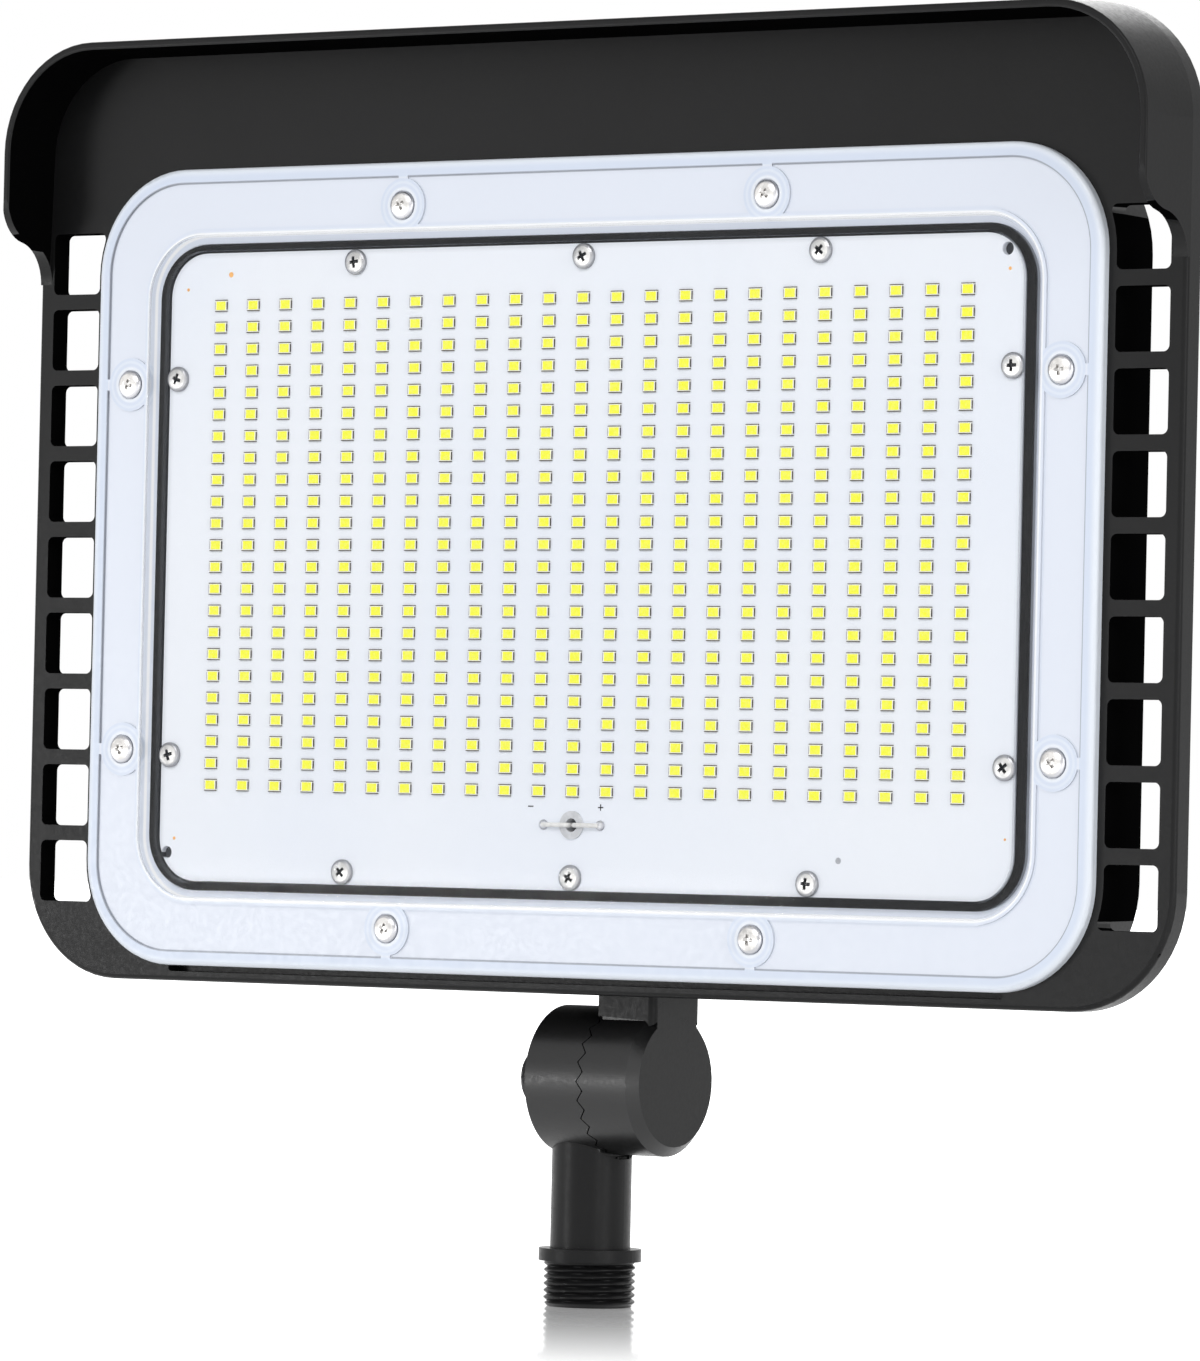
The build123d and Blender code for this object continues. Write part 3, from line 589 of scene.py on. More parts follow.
def from_bmesh(name, shape, smooth_under=40.0):
    """A mesh object from a bmesh, with its faces pointing outwards."""
    bmesh.ops.remove_doubles(shape, verts=shape.verts, dist=WELD)
    bmesh.ops.recalc_face_normals(shape, faces=shape.faces)
    mesh = bpy.data.meshes.new(name)
    shape.to_mesh(mesh)
    shape.free()
    return new_piece(name, mesh, smooth_under)


def loft(shape, rings, closed=False):
    """Walls through rings of points, in order, with a face at each end or with the two ends joined."""
    made = [[shape.verts.new(point) for point in ring] for ring in rings]
    pairs = list(zip(made, made[1:]))
    if closed:
        pairs.append((made[-1], made[0]))
    else:
        shape.faces.new(made[0])
        shape.faces.new(made[-1])
    for first, second in pairs:
        for k in range(len(first)):
            n = (k + 1) % len(first)
            shape.faces.new((first[k], first[n], second[n], second[k]))


def turned(name, profile, steps, sharp):
    """A closed solid turned about the Y axis. The profile runs from axis to axis: (radius, forward)."""
    shape = bmesh.new()
    rings = []
    for radius, forward in profile:
        angles = circle(steps) if radius > 0 else [0.0]
        ring = [(radius * math.cos(angle), -forward, radius * math.sin(angle)) for angle in angles]
        rings.append([shape.verts.new(point) for point in ring])
    for first, second in zip(rings, rings[1:]):
        for k in range(steps):
            places = ((first, k), (first, k + 1), (second, k + 1), (second, k))
            corners = list(dict.fromkeys(ring[place % len(ring)] for ring, place in places))
            if len(corners) > 2:
                shape.faces.new(corners)
    return from_bmesh(name, shape, sharp)


def baked(piece):
    """Turn a piece with modifiers into a plain mesh and drop the modifiers."""
    graph = bpy.context.evaluated_depsgraph_get()
    mesh = bpy.data.meshes.new_from_object(piece.evaluated_get(graph))
    piece.modifiers.clear()
    piece.data = mesh
    mesh.name = piece.name


def carve(piece, cutter):
    """Cut one mesh out of another and drop the cutter."""
    cut = piece.modifiers.new("cut", "BOOLEAN")
    cut.operation = "DIFFERENCE"
    cut.solver = "EXACT"
    cut.object = cutter
    baked(piece)
    bpy.data.objects.remove(cutter)


def repeat_tree():
    """Geometry nodes that put a shape at every point, turned by the point's own angle."""
    name = "Repeat at points"
    if name in bpy.data.node_groups:
        return bpy.data.node_groups[name]
    tree, given, out = new_group(
        name, "GeometryNodeTree",
        [("Geometry", "NodeSocketGeometry", None), ("Shape", "NodeSocketObject", None),
         ("Finish", "NodeSocketMaterial", None)],
        [("Geometry", "NodeSocketGeometry")],
    )
    shape = put(tree, "GeometryNodeObjectInfo", {"Object": given["Shape"]}).outputs["Geometry"]
    turn = put(tree, "GeometryNodeInputNamedAttribute", {"Name": "turn"}, data_type="FLOAT").outputs[0]
    angle = put(tree, "ShaderNodeCombineXYZ", {"Y": turn}).outputs[0]
    placed = put(tree, "GeometryNodeInstanceOnPoints", {
        "Points": given["Geometry"], "Instance": shape, "Rotation": angle,
    }).outputs[0]
    real = put(tree, "GeometryNodeRealizeInstances", {"Geometry": placed}).outputs[0]
    dressed = put(tree, "GeometryNodeSetMaterial", {"Geometry": real, "Material": given["Finish"]}).outputs[0]
    tree.links.new(dressed, out.inputs[0])
    return tree


def repeat(name, shape, places, material, turns=None):
    """One plain mesh with a copy of the shape at each place, each with its own turn about Y."""
    piece = from_points(name, places, [])
    spin = piece.data.attributes.new("turn", "FLOAT", "POINT")
    for k in range(len(places)):
        spin.data[k].value = turns[k] if turns else 0.0
    tree = repeat_tree()
    modifier = piece.modifiers.new("repeat", "NODES")
    modifier.node_group = tree
    for item in tree.interface.items_tree:
        if item.in_out == "INPUT" and item.name in ("Shape", "Finish"):
            modifier[item.identifier] = shape if item.name == "Shape" else material
    baked(piece)
    if "turn" in piece.data.attributes:
        piece.data.attributes.remove(piece.data.attributes["turn"])
    shade(piece.data, 40.0)
    bpy.data.objects.remove(shape)
    return piece


def copy_node(node, name, above=None):
    """A copy of a CAD node with its triangles joined and the CAD's own normals, cut at a level if given."""
    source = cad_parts[node].data
    shape = bmesh.new()
    shape.from_mesh(source)
    origin = shape.faces.layers.int.new("origin")
    for face in shape.faces:
        face[origin] = face.index
    bmesh.ops.remove_doubles(shape, verts=shape.verts, dist=WELD)
    if above is not None:
        cut_below(shape, origin, above)
    mesh = bpy.data.meshes.new(name)
    shape.to_mesh(mesh)
    shape.free()
    piece = new_piece(name, mesh, smooth_under=32.0)
    keep_corner_normals(source, mesh)
    mesh.attributes.remove(mesh.attributes["origin"])
    return piece


def cut_below(shape, origin, level):
    """Cut off what lies below a level and close the cut with flat faces, marked as new."""
    parts = shape.verts[:] + shape.edges[:] + shape.faces[:]
    cut = bmesh.ops.bisect_plane(
        shape, geom=parts, plane_co=(0, 0, level), plane_no=(0, 0, 1), clear_inner=True, dist=0.001 * MM,
    )
    rims = [e for e in cut["geom_cut"] if isinstance(e, bmesh.types.BMEdge) and e.is_boundary]
    filled = bmesh.ops.triangle_fill(shape, use_beauty=True, edges=rims, normal=(0, 0, -1))
    for face in filled["geom"]:
        if isinstance(face, bmesh.types.BMFace):
            face[origin] = -1


def keep_corner_normals(source, mesh):
    """Give each corner of a joined mesh the normal that the CAD node's own triangle has there."""
    normals = []
    for face in mesh.polygons:
        number = mesh.attributes["origin"].data[face.index].value
        if number < 0:
            normals += [face.normal.copy() for _ in face.loop_indices]
            continue
        old = source.polygons[number]
        corners = [(source.vertices[source.loops[i].vertex_index].co, source.corner_normals[i].vector)
                   for i in old.loop_indices]
        for i in face.loop_indices:
            here = mesh.vertices[mesh.loops[i].vertex_index].co
            normals.append(min(corners, key=lambda corner: (corner[0] - here).length)[1].copy())
    mesh.normals_split_custom_set(normals)


def dress(node, material):
    """Give a CAD node its material."""
    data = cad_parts[node].data
    data.materials.clear()
    data.materials.append(material)


def seat(piece, body, material=None, replaced=()):
    """Let a piece ride on a body, take its slot and stand for CAD nodes."""
    if material:
        piece.data.materials.clear()
        piece.data.materials.append(material)
    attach(piece, body)
    if replaced:
        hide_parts(*replaced)


def dome(radius, height, rim, rings=7):
    """Profile of a pan head from its axis out to its rim, then down to its seat."""
    points = [(0.0, height)]
    for k in range(1, rings + 1):
        angle = math.pi / 2 * k / rings
        points.append((radius * math.sin(angle), rim + (height - rim) * math.cos(angle)))
    return points


def cross_cutter(sizes, top, scale, deep_share):
    """A tapered cross, point down, for the recess of a screw."""
    wide, span = sizes.recess_width / 2 * scale, sizes.recess_span / 2 * scale
    mouth = (top + 0.3 * MM, wide * 1.1, span * 1.05)
    floor = (top - sizes.recess_depth * deep_share * scale, wide * 0.7, span * 0.4)
    rings = []
    for level, arm, reach in (mouth, floor):
        quarter = [(arm, reach), (arm, arm), (reach, arm)]
        ring = []
        for _ in range(4):
            ring += [(x, -level, z) for x, z in quarter]
            quarter = [(z, -x) for x, z in quarter]
        rings.append(ring)
    shape = bmesh.new()
    loft(shape, rings)
    return from_bmesh("cross", shape)


def screw_shape(sizes, screw, rim_share, scale=1.0, deep_share=1.0):
    """A cross-recess screw along Y, its head's seat at the origin, with its rim and recess marked."""
    head_r, head_h, shank_r, length = (size * MM for size in screw)
    crown = head_h * (1 - rim_share)
    profile = dome(head_r, head_h, head_h * rim_share) + [(head_r, 0.0), (shank_r, 0.0)]
    profile += [(shank_r, -length + shank_r * 0.5), (shank_r * 0.6, -length), (0.0, -length)]
    body = turned("screw_shape", profile, steps=40, sharp=30.0)
    carve(body, cross_cutter(sizes, head_h - crown * 0.12, scale, deep_share))
    out, sunk = (body.data.attributes.new(field, "FLOAT", "POINT").name for field in ("out", "sunk"))
    recess_depth = sizes.recess_depth * scale * deep_share
    for k, vert in enumerate(body.data.vertices):
        away = math.hypot(vert.co.x, vert.co.z) / head_r
        surface = head_h - crown + crown * math.sqrt(max(0.0, 1 - away ** 2))
        in_recess = (surface + vert.co.y) / recess_depth > 0.3 and away < 0.6 and vert.co.y < 0
        body.data.attributes[out].data[k].value = away
        body.data.attributes[sunk].data[k].value = 1.0 if in_recess else 0.0
    return body


def spread_turns(count, seed):
    """Different, repeatable angles for a row of screws, stepped by the golden section."""
    return [((k * 0.381966 + seed * 0.27) % 1.0) * math.pi / 2 for k in range(count)]


class LAMP_OT_stage(bpy.types.Operator):
    """Make the camera, the lamps, the world and the floor"""

    bl_idname = "lamp.stage"
    bl_label = "Stage"

    def execute(self, context):
        stage = context.scene.flood_light.stage
        self.make_camera(context, stage)
        self.make_world(context, stage)
        self.make_lamps(context, stage)
        self.make_floor()
        context.scene.view_settings.view_transform = "Standard"
        return {"FINISHED"}

    def make_camera(self, context, stage):
        """The photograph's view of the packages."""
        azimuth, elevation, roll = stage.azimuth, stage.elevation, stage.roll
        flat = Vector((-math.sin(azimuth), math.cos(azimuth), 0.0))
        ahead = flat * math.cos(elevation) - Vector((0.0, 0.0, math.sin(elevation)))
        level = Vector((math.cos(azimuth), math.sin(azimuth), 0.0))
        upright = level.cross(ahead)
        right = math.cos(roll) * level + math.sin(roll) * upright
        up = math.cos(roll) * upright - math.sin(roll) * level
        data = bpy.data.cameras.new("camera")
        camera = bpy.data.objects.new("camera", data)
        context.scene.collection.objects.link(camera)
        data.sensor_width = 36.0
        data.lens = stage.lens_mm
        data.clip_start, data.clip_end = 0.05, 100.0
        target = middle("led_packages")
        target.y = BOARD_FRONT
        target += right * stage.beside - up * stage.below
        rotation = Matrix((right, up, -ahead)).transposed().to_4x4()
        camera.matrix_world = Matrix.Translation(target - ahead * stage.distance) @ rotation
        context.scene.camera = camera

    def make_world(self, context, stage):
        """Even light, and a white surround for what the camera, metal and glass see."""
        world = bpy.data.worlds.new("surround")
        world.use_nodes = True
        context.scene.world = world
        tree = world.node_tree
        tree.nodes.clear()
        even = put(tree, "ShaderNodeBackground", {"Color": (0.98, 0.99, 1.0, 1.0), "Strength": stage.world})
        white = put(tree, "ShaderNodeBackground", {"Color": (1.0, 1.0, 1.0, 1.0), "Strength": 1.0})
        both = mix_shaders(tree, seen_directly(tree), even, white)
        put(tree, "ShaderNodeOutputWorld", {"Surface": both.outputs[0]})

    def make_lamps(self, context, stage):
        """Soft boxes: over the front, low in front and at the right front, at the right and behind."""
        centre = Vector((LENS_CENTRE.x, LENS_CENTRE.y, LENS_CENTRE.z - 0.02))
        # Name, place from the lens's middle and size in metres, and power
        boxes = [
            ("key", (0.5, -2.3, 1.6), (1.6, 1.2), stage.key),
            ("low", (-1.5, -1.9, -0.12), (0.5, 0.12), stage.key * 0.3),
            ("chamfer", (1.95, -1.37, -0.12), (0.25, 0.12), stage.key * 0.1),
            ("right", (2.3, -0.5, 0.5), (0.7, 1.4), stage.key * 0.45),
            ("behind", (-0.9, 1.9, 1.1), (1.4, 1.0), stage.key * 0.5),
        ]
        for name, place, size, power in boxes:
            data = bpy.data.lights.new(name, "AREA")
            data.shape = "RECTANGLE"
            data.size, data.size_y = size
            data.energy = power
            lamp = bpy.data.objects.new(name, data)
            context.scene.collection.objects.link(lamp)
            lamp.location = centre + Vector(place)
            lamp.rotation_euler = (centre - lamp.location).to_track_quat("-Z", "Y").to_euler()

    def make_floor(self):
        """A white floor under the thread's end. It keeps the lamp's shadow and a faint reflection."""
        level = box("lower_knuckle")[0].z - 0.02 * MM
        half = 12.0
        corners = [(x * half, y * half, level) for x, y in ((-1, -1), (1, -1), (1, 1), (-1, 1))]
        floor = from_points("floor", corners, [(0, 1, 2, 3)])
        material = bpy.data.materials.new("floor")
        material.use_nodes = True
        tree = material.node_tree
        tree.nodes.clear()
        coords = put(tree, "ShaderNodeTexCoord").outputs["Object"]
        away = put(tree, "ShaderNodeVectorMath", {0: coords}, operation="LENGTH").outputs["Value"]
        lit = put(tree, "ShaderNodeBsdfDiffuse", {"Color": (0.8, 0.8, 0.8, 1.0)})
        # The glow grows and the reflection fades with the distance from the stem, in metres
        strength = ramp(tree, away, 0.03, 0.5, 0.75, 1.3)
        glow = put(tree, "ShaderNodeEmission", {"Color": (1.0, 1.0, 1.0, 1.0), "Strength": strength})
        white = put(tree, "ShaderNodeAddShader", {0: lit.outputs[0], 1: glow.outputs[0]})
        mirror = put(tree, "ShaderNodeBsdfAnisotropic", {"Color": (1.0, 1.0, 1.0, 1.0), "Roughness": 0.04})
        fresnel = put(tree, "ShaderNodeFresnel", {"IOR": 1.45}).outputs[0]
        share = times(tree, ramp(tree, away, 0.0, 0.42, 1.1, 0.0), fresnel)
        glossy = mix_shaders(tree, share, white, mirror)
        both = mix_shaders(tree, seen_directly(tree), lit, glossy)
        below = put(tree, "ShaderNodeNewGeometry").outputs["Backfacing"]
        nothing = put(tree, "ShaderNodeBsdfTransparent")
        one_sided = mix_shaders(tree, below, both, nothing)
        put(tree, "ShaderNodeOutputMaterial", {"Surface": one_sided.outputs[0]})
        floor.data.materials.append(material)


class LAMP_OT_castings(bpy.types.Operator):
    """Coat the housing and the rear cover"""

    bl_idname = "lamp.castings"
    bl_label = "Castings"

    def execute(self, context):
        settings = context.scene.flood_light.casting
        coat = casting_material("powder_coat", settings)
        dress("driver_cover", coat)
        sheen = casting_material("sheen_coat", settings, specular=0.5)
        # A darker copy of the coat without reflection: painted shade for the walls in the hood and the
        # windows
        thin = casting_material("thin_coat", settings, level=0.35, duller=0.35, specular=0.0)
        self.housing(coat, thin, sheen)
        seat(self.neck_root(), "head", coat)
        return {"FINISHED"}

    def housing(self, coat, thin, sheen):
        """The housing, with a darker coat of painted shade on the walls inside the hood and the windows."""
        piece = copy_node("housing", "housing_casting")
        seat(piece, "head", coat, ["housing"])
        piece.data.materials.append(thin)
        # Millimetres ahead of the lens's back and across from its middle
        front_edge = 0.6
        ladder_inner, ladder_outer, ladder_half_high = 142.5, 158.2, 86.0
        ladder_back = -16.0
        for face in piece.data.polygons:
            place = (face.center - LENS_CENTRE) / MM
            ahead = -place.y
            inwards = -(place.x * face.normal.x + place.z * face.normal.z) > 0
            upright = abs(face.normal.y) < 0.6
            in_hood = ahead > front_edge and inwards
            in_ladder = ladder_inner < abs(place.x) < ladder_outer and abs(place.z) < ladder_half_high
            in_window = in_ladder and ladder_back < ahead < -front_edge
            # Painted shade: upright walls facing inwards in the hood and in the windows take the darker coat
            if upright and (in_hood or in_window):
                face.material_index = 1
        polish_knuckle(piece, sheen)

    def neck_root(self):
        """The casting's fill between the neck and the outer face of the knuckle's upper half."""
        outer = PIVOT.x + 15.62 * MM
        inner = PIVOT.x + 13.3 * MM
        reach = 8.0 * MM
        under, over = 14.8 * MM, 19.4 * MM
        steps = 24
        rings = []
        for k in range(steps + 1):
            y = -reach + 2 * reach * k / steps
            low, high = (PIVOT.z + math.sqrt(radius ** 2 - y ** 2) for radius in (under, over))
            rings.append([(inner, y, low), (outer, y, low), (outer, y, high), (inner, y, high)])
        shape = bmesh.new()
        loft(shape, rings)
        return from_bmesh("neck_root", shape, smooth_under=30.0)


class LAMP_OT_threaded_stem(bpy.types.Operator):
    """Make the lower knuckle with its stem, and cut the pipe thread under its collar"""

    bl_idname = "lamp.threaded_stem"
    bl_label = "Threaded stem"

    def execute(self, context):
        settings = context.scene.flood_light
        coat = bpy.data.materials["powder_coat"]
        stem = copy_node("lower_knuckle", "knuckle_and_stem", above=0.0)
        seat(stem, "stem", coat, ["lower_knuckle"])
        polish_knuckle(stem, bpy.data.materials["sheen_coat"])
        thread = self.make_thread(settings.thread)
        seat(thread, "stem", coat, ["lower_knuckle"])
        return {"FINISHED"}

    def make_thread(self, sizes):
        """A closed tube with a helical V groove outside. Its bore is the stem's wireway."""
        length = -box("lower_knuckle")[0].z
        crest = 10.67 * MM
        bore = 6.5 * MM
        run_out = 1.0 * MM
        groove_half = 0.42
        rows_per_pitch = 8
        angles = circle(72)
        rows = int(length / sizes.pitch * rows_per_pitch)
        rings = []
        for row in range(rows + 1):
            down = length * row / rows
            chamfered = crest - sizes.depth * 1.1 + length - down
            ring = []
            for angle in angles:
                phase = (down / sizes.pitch + angle / (2 * math.pi)) % 1.0
                groove = sizes.depth * max(0.0, 1.0 - abs(phase - 0.5) / groove_half)
                # The groove runs out under the collar, and the end is chamfered
                radius = min(crest - groove * min(1.0, down / run_out), chamfered)
                ring.append((radius * math.cos(angle), radius * math.sin(angle), -down))
            rings.append(ring)
        for z in (-length, 0.0):
            rings.append([(bore * math.cos(angle), bore * math.sin(angle), z) for angle in angles])
        shape = bmesh.new()
        loft(shape, rings, closed=True)
        return from_bmesh("pipe_thread", shape, smooth_under=35.0)


class LAMP_OT_lens(bpy.types.Operator):
    """Make the lens and its gasket"""

    bl_idname = "lamp.lens"
    bl_label = "Lens"

    def execute(self, context):
        lens = copy_node("lens", "lens_moulding")
        # The back lies in the plane of the casting's face, so it is drawn a hair's breadth ahead of it
        back, hair = LENS_HIGH.y - 0.01 * MM, 0.04 * MM
        for vert in lens.data.vertices:
            if vert.co.y > back:
                vert.co.y -= hair
        seat(lens, "head", lens_material(context.scene.flood_light.lens), ["lens"])
        rubber = speckled_material(
            "black_rubber", (0.012, 0.012, 0.012), 0.6, 500.0, relief=0.03 * MM, specular=0.3,
        )
        for node in ("lens_gasket", "driver_cover_gasket", "knuckle_seal"):
            dress(node, rubber)
        return {"FINISHED"}


class LAMP_OT_board(bpy.types.Operator):
    """Finish the board, with its copper dots and its plus and minus marks"""

    bl_idname = "lamp.board"
    bl_label = "Board"

    def execute(self, context):
        dress("led_board", board_material())
        # The pad is near black: painted shade in the board's tooling holes, the only place where it shows
        dress("thermal_pad", speckled_material("thermal_pad", (0.05, 0.052, 0.056), 0.8, 300.0, specular=0.2))
        copper = speckled_material("bare_copper", (0.9, 0.45, 0.12), 0.4, 900.0)
        grey = speckled_material("grey_mark", (0.42, 0.43, 0.46), 0.6, 900.0)
        for name, dots, material in (("copper_dots", COPPER_DOTS, copper), ("grey_dots", GREY_DOTS, grey)):
            seat(self.dots(name, dots), "head", material)
        ink = speckled_material("black_ink", (0.03, 0.03, 0.03), 0.7, 900.0)
        seat(self.marks(), "head", ink)
        return {"FINISHED"}

    def dots(self, name, places):
        """Thin discs on the board."""
        steps = 16
        thick = 0.05 * MM
        shape = bmesh.new()
        for x, z, across in places:
            centre = on_lens(x, z, BOARD_FRONT - thick / 2 - AIR)
            matrix = Matrix.Translation(centre) @ Matrix.Rotation(math.pi / 2, 4, "X")
            bmesh.ops.create_cone(
                shape, cap_ends=True, segments=steps, radius1=across * MM / 2, radius2=across * MM / 2,
                depth=thick, matrix=matrix,
            )
        return from_bmesh(name, shape)

    def marks(self):
        """A minus over the left pad and a plus over the right one."""
        bar, thin, thick = 1.5 * MM, 0.28 * MM, 0.04 * MM
        shape = bmesh.new()
        for x, wide, high in ((MINUS_X, bar, thin), (PLUS_X, bar, thin), (PLUS_X, thin, bar)):
            centre = on_lens(x, WIRES_Z + MARK_RISE, BOARD_FRONT - thick / 2 - AIR)
            matrix = Matrix.Translation(centre) @ Matrix.Diagonal((wide, thick, high, 1.0))
            bmesh.ops.create_cube(shape, size=1.0, matrix=matrix)
        return from_bmesh("polarity_marks", shape)


class LAMP_OT_packages(bpy.types.Operator):
    """Make the yellow light packages in their rows"""

    bl_idname = "lamp.packages"
    bl_label = "Light packages"

    def execute(self, context):
        sizes = context.scene.flood_light.packages
        low, high = box("led_packages")
        thick = high.y - low.y
        places = []
        for i in range(sizes.across):
            for k in range(sizes.down):
                x = low.x + sizes.width / 2 + (high.x - low.x - sizes.width) * i / (sizes.across - 1)
                z = low.z + sizes.height / 2 + (high.z - low.z - sizes.height) * k / (sizes.down - 1)
                places.append((x, BOARD_FRONT, z))
        white = speckled_material("package_frame", (0.93, 0.93, 0.86), 0.4, 1500.0, spread=0.06)
        # The dark edges round each package: terminals and painted shade
        edge = speckled_material("package_terminals", sizes.edge, 0.5, 1500.0)
        pieces = (
            ("package_frames", self.frame_shape, white),
            ("package_phosphor", self.face_shape, phosphor_material(sizes.phosphor)),
            ("package_terminals", self.terminal_and_shade_shape, edge),
        )
        for name, make, material in pieces:
            shape = bmesh.new()
            make(shape, sizes, thick)
            piece = repeat(name, from_bmesh(name + "_shape", shape), places, material)
            seat(piece, "head", None, ["led_packages"])
        return {"FINISHED"}

    def block(self, shape, x, z, wide, high, back, ahead, draft=0.0):
        """A block on the board between two distances from it, drawn in by a draft at its front."""
        rings = []
        for forward, inset in ((back, 0.0), (ahead, draft)):
            right, up = wide / 2 - inset, high / 2 - inset
            rings.append([
                (x + sx * right, -forward, z + sz * up) for sx, sz in ((-1, -1), (1, -1), (1, 1), (-1, 1))
            ])
        loft(shape, rings)

    def frame_shape(self, shape, sizes, thick):
        """The pale body of a package."""
        wide, high = sizes.width - 0.1 * MM, sizes.height - 0.1 * MM
        self.block(shape, 0, 0, wide, high, 0.0, thick * 0.5, 0.03 * MM)

    def face_shape(self, shape, sizes, thick):
        """The yellow face, a low drafted block."""
        wide, high = sizes.width - 0.7 * MM, sizes.height - 0.7 * MM
        self.block(shape, 0, 0, wide, high, thick * 0.45, thick * 0.6, 0.1 * MM)

    def terminal_and_shade_shape(self, shape, sizes, thick):
        """Dark edges along the four sides, open at the corners: terminals and painted shade."""
        line = 0.22 * MM
        thin = line / 2
        short = sizes.height - 0.9 * MM
        for side in (-1, 1):
            self.block(shape, 0, side * (sizes.height - line) / 2, sizes.width, line, 0.0, thick * 0.52)
            self.block(shape, side * (sizes.width - thin) / 2, 0, thin, short, 0.0, thick * 0.5)


class LAMP_OT_screws(bpy.types.Operator):
    """Make the cross-recess screws of the lens, the board and the rear cover"""

    bl_idname = "lamp.screws"
    bl_label = "Screws"

    def execute(self, context):
        sizes = context.scene.flood_light.screws
        # The rim and recess colours paint shade on the heads
        bright = plated_material(
            "bright_screw", (0.86, 0.84, 0.82), 0.26, rim=(0.5, 0.5, 0.52), recess=(0.42, 0.41, 0.40),
        )
        flat = plated_material(
            "board_screw", (0.74, 0.73, 0.71), 0.34, rim=(0.36, 0.36, 0.37), recess=(0.02, 0.02, 0.02),
        )
        dull = plated_material("dull_screw", (0.60, 0.585, 0.56), 0.3)
        lens_screw = screw_shape(sizes, LENS_SCREW, rim_share=0.35, deep_share=0.4)
        board_screw = screw_shape(sizes, BOARD_SCREW, rim_share=0.45, scale=0.95, deep_share=0.8)
        cover_screw = screw_shape(sizes, COVER_SCREW, rim_share=0.4, scale=1.25)
        cover_screw.data.transform(Matrix.Rotation(math.pi, 4, "Z"))
        on_flange = self.front_places("lens_screws", LENS_SCREW, mirrored(LENS_SCREW_PLACES))
        on_board = self.front_places("board_screws", BOARD_SCREW, BOARD_SCREW_PLACES)
        rows = (
            ("lens_screws_cross", "lens_screws", lens_screw, on_flange, bright),
            ("board_screws_cross", "board_screws", board_screw, on_board, flat),
            ("rear_screws_cross", "driver_cover_screws", cover_screw, self.rear_places(), dull),
        )
        for seed, (name, node, shape, places, material) in enumerate(rows, 1):
            piece = repeat(name, shape, places, material, spread_turns(len(places), seed))
            seat(piece, "head", None, [node])
        for node in ("driver_screws", "earth_screw"):
            dress(node, dull)
        return {"FINISHED"}

    def front_places(self, node, screw, places):
        """The seats of the heads on the front, behind the front of the node's box."""
        seat_y = box(node)[0].y + screw[1] * MM
        return [on_lens(x, z, seat_y) for x, z in places]

    def rear_places(self):
        """The seats of the rear cover's six heads, which face to the back."""
        low, high = box("driver_cover_screws")
        head_r, head_h = COVER_SCREW[0] * MM, COVER_SCREW[1] * MM
        xs = (low.x + head_r, high.x - head_r)
        zs = (low.z + head_r, (low.z + high.z) / 2, high.z - head_r)
        return [(x, high.y - head_h, z) for x in xs for z in zs]


class LAMP_OT_wiring(bpy.types.Operator):
    """Finish the grommet, the two leads, their solder and the driver"""

    bl_idname = "lamp.wiring"
    bl_label = "Wiring"

    def execute(self, context):
        bush = speckled_material("grey_grommet", (0.60, 0.61, 0.63), 0.55, 500.0, relief=0.02 * MM)
        dress("wire_grommet", bush)
        sleeve = speckled_material("white_sleeve", (0.80, 0.79, 0.77), 0.35, 700.0, spread=0.08)
        for node in ("led_lead_positive", "led_lead_negative"):
            dress(node, sleeve)
        radius, height, rim = 1.2 * MM, 0.95 * MM, 0.12 * MM
        bead = turned("bead", dome(radius, height, rim) + [(radius, 0.0), (0.0, 0.0)], steps=28, sharp=50.0)
        back = box("solder_joints")[1].y
        places = [on_lens(side * PAD_X, WIRES_Z, back) for side in (-1, 1)]
        beads = repeat("solder_beads", bead, places, plated_material("solder", (0.55, 0.55, 0.57), 0.42))
        seat(beads, "head", None, ["solder_joints"])
        dress("driver", speckled_material("driver_case", (0.05, 0.05, 0.055), 0.5, 300.0, relief=0.03 * MM))
        return {"FINISHED"}


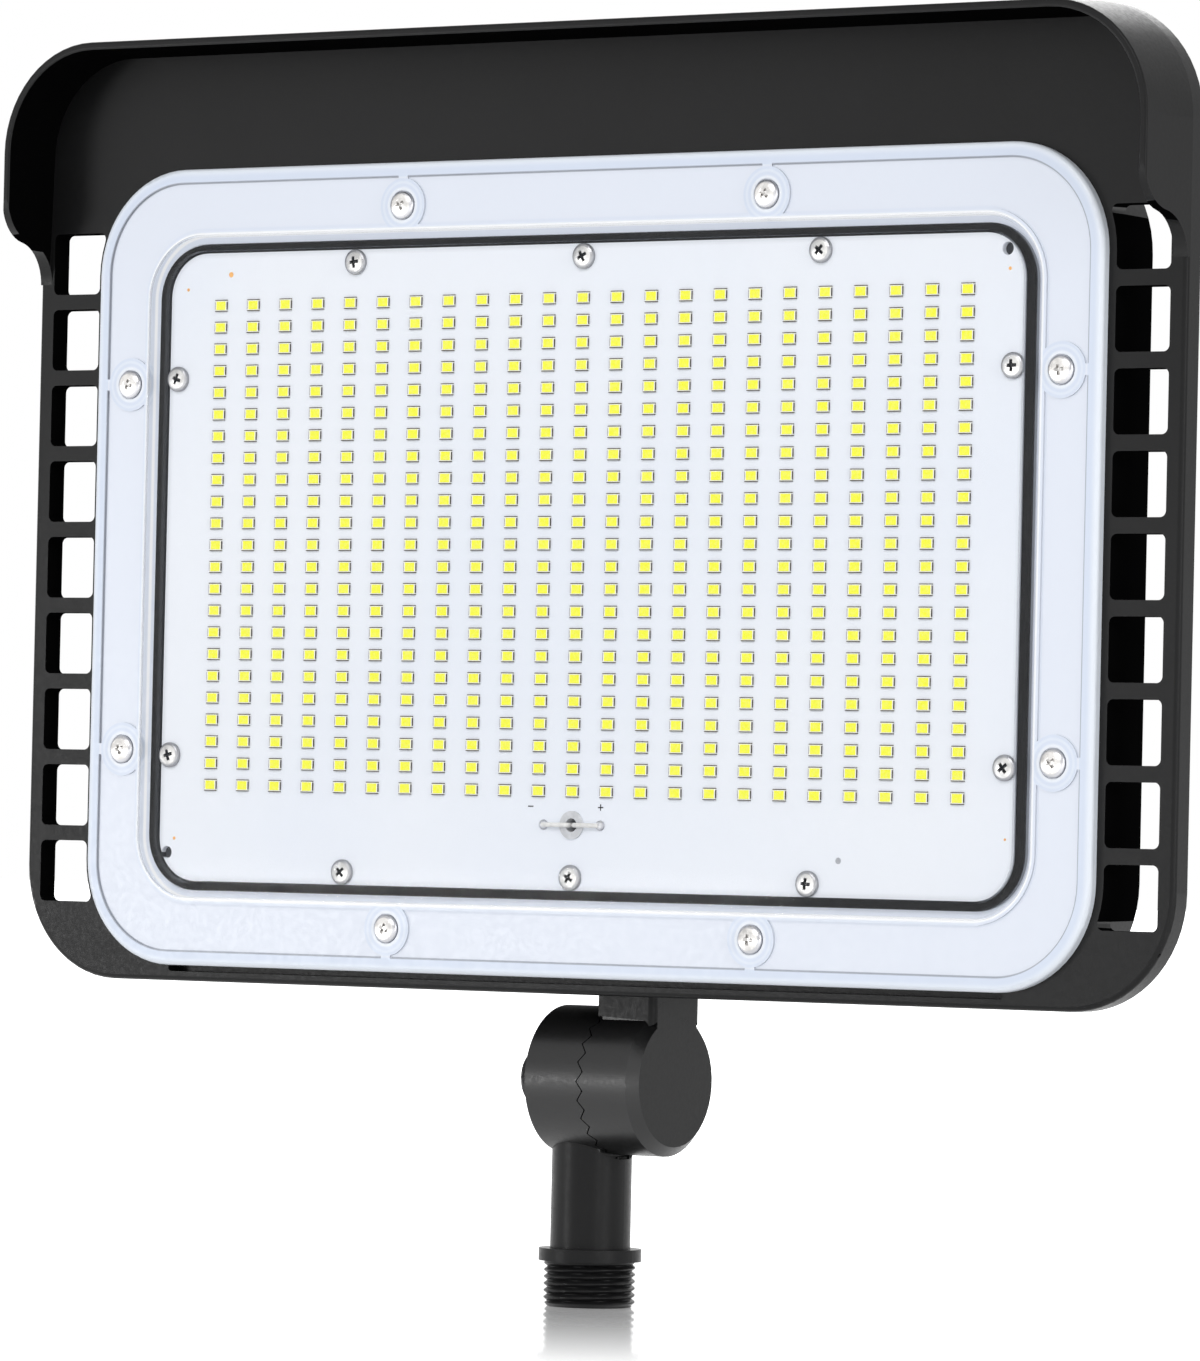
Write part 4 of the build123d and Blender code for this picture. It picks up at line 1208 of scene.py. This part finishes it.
class LAMP_OT_knuckle_hardware(bpy.types.Operator):
    """Make the clamp bolt with its chamfered head, and the washers under it"""

    bl_idname = "lamp.knuckle_hardware"
    bl_label = "Knuckle hardware"

    def execute(self, context):
        zinc = plated_material("black_zinc", (0.06, 0.06, 0.062), 0.5)
        seat(self.bolt(), "bolt", zinc, ["knuckle_bolt"])
        seat(self.spring_washer(), "clamp", zinc, ["knuckle_spring_washer"])
        dress("knuckle_flat_washer", zinc)
        return {"FINISHED"}

    def bolt(self):
        """A hexagon head with a chamfered rim, and its shank with a chamfered end, along X."""
        low, high = box("knuckle_bolt")
        flats = (high.z - low.z) / 2
        corner = flats / math.cos(math.pi / 6)
        head_t, chamfer = 5.3 * MM, 0.9 * MM
        # Radius and length in millimetres, up to the chamfer of the shank and at its tip
        shank_r, shank_l = 4.0, 28.2
        tip_r, tip_l = 3.4, 28.8
        place = Vector((low.x + head_t, (low.y + high.y) / 2, (low.z + high.z) / 2))
        head = []
        for left, limit in ((0.0, corner), (head_t - chamfer, corner), (head_t, flats * 0.97)):
            ring = []
            for angle in circle(48):
                sector = (angle + math.pi / 6) % (math.pi / 3) - math.pi / 6
                reach = min(flats / math.cos(sector), limit)
                ring.append(place + Vector((-left, reach * math.sin(angle), reach * math.cos(angle))))
            head.append(ring)
        shank = []
        for right, radius in ((0.0, shank_r), (shank_l, shank_r), (tip_l, tip_r)):
            shank.append([
                place + Vector((right, radius * math.cos(angle), radius * math.sin(angle))) * MM
                for angle in circle(40)
            ])
        shape = bmesh.new()
        loft(shape, head)
        loft(shape, shank)
        return from_bmesh("knuckle_hex_bolt", shape, smooth_under=30.0)

    def spring_washer(self):
        """A split ring, bent a little apart at its gap."""
        low, high = box("knuckle_spring_washer")
        centre = (low + high) / 2
        outer = (high.z - low.z) / 2
        inner = 4.25 * MM
        thick = high.x - low.x
        gap = math.radians(9)
        lift = 0.18 * thick
        half = (thick - lift) / 2
        section = ((inner, -half), (outer, -half), (outer, half), (inner, half))
        steps = 60
        rings = []
        for k in range(steps + 1):
            share = k / steps
            angle = gap / 2 + (2 * math.pi - gap) * share
            start = centre + Vector(((share - 0.5) * lift, 0.0, 0.0))
            rings.append([
                start + Vector((side, radius * math.cos(angle), radius * math.sin(angle)))
                for radius, side in section
            ])
        shape = bmesh.new()
        loft(shape, rings)
        return from_bmesh("split_spring_washer", shape, smooth_under=30.0)


class LAMP_PT_panel(bpy.types.Panel):
    """Sizes, colours and steps of the flood light"""

    bl_idname = "LAMP_PT_panel"
    bl_label = "Flood light"
    bl_space_type = "VIEW_3D"
    bl_region_type = "UI"
    bl_category = "Flood light"

    def draw(self, context):
        settings = context.scene.flood_light
        for group in ("casting", "lens", "packages", "screws", "thread", "stage"):
            box_layout = self.layout.box()
            box_layout.label(text=group.capitalize())
            part = getattr(settings, group)
            for field in part.__annotations__:
                box_layout.prop(part, field)
        for operator in OPERATORS:
            self.layout.operator(operator.bl_idname)


OPERATORS = (
    LAMP_OT_stage, LAMP_OT_castings, LAMP_OT_threaded_stem, LAMP_OT_lens, LAMP_OT_board, LAMP_OT_packages,
    LAMP_OT_screws, LAMP_OT_wiring, LAMP_OT_knuckle_hardware,
)
GROUPS = (CastingFinish, LensFinish, PackageSizes, ScrewSizes, ThreadSizes, StageSettings, FloodLight)


def register():
    for made in (*GROUPS, *OPERATORS, LAMP_PT_panel):
        bpy.utils.register_class(made)
    bpy.types.Scene.flood_light = PointerProperty(type=FloodLight)


def unregister():
    del bpy.types.Scene.flood_light
    for made in reversed((*GROUPS, *OPERATORS, LAMP_PT_panel)):
        bpy.utils.unregister_class(made)


def main():
    """Register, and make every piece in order."""
    register()
    for operator in OPERATORS:
        group, name = operator.bl_idname.split(".")
        getattr(getattr(bpy.ops, group), name)()


if __name__ == "__main__":
    main()
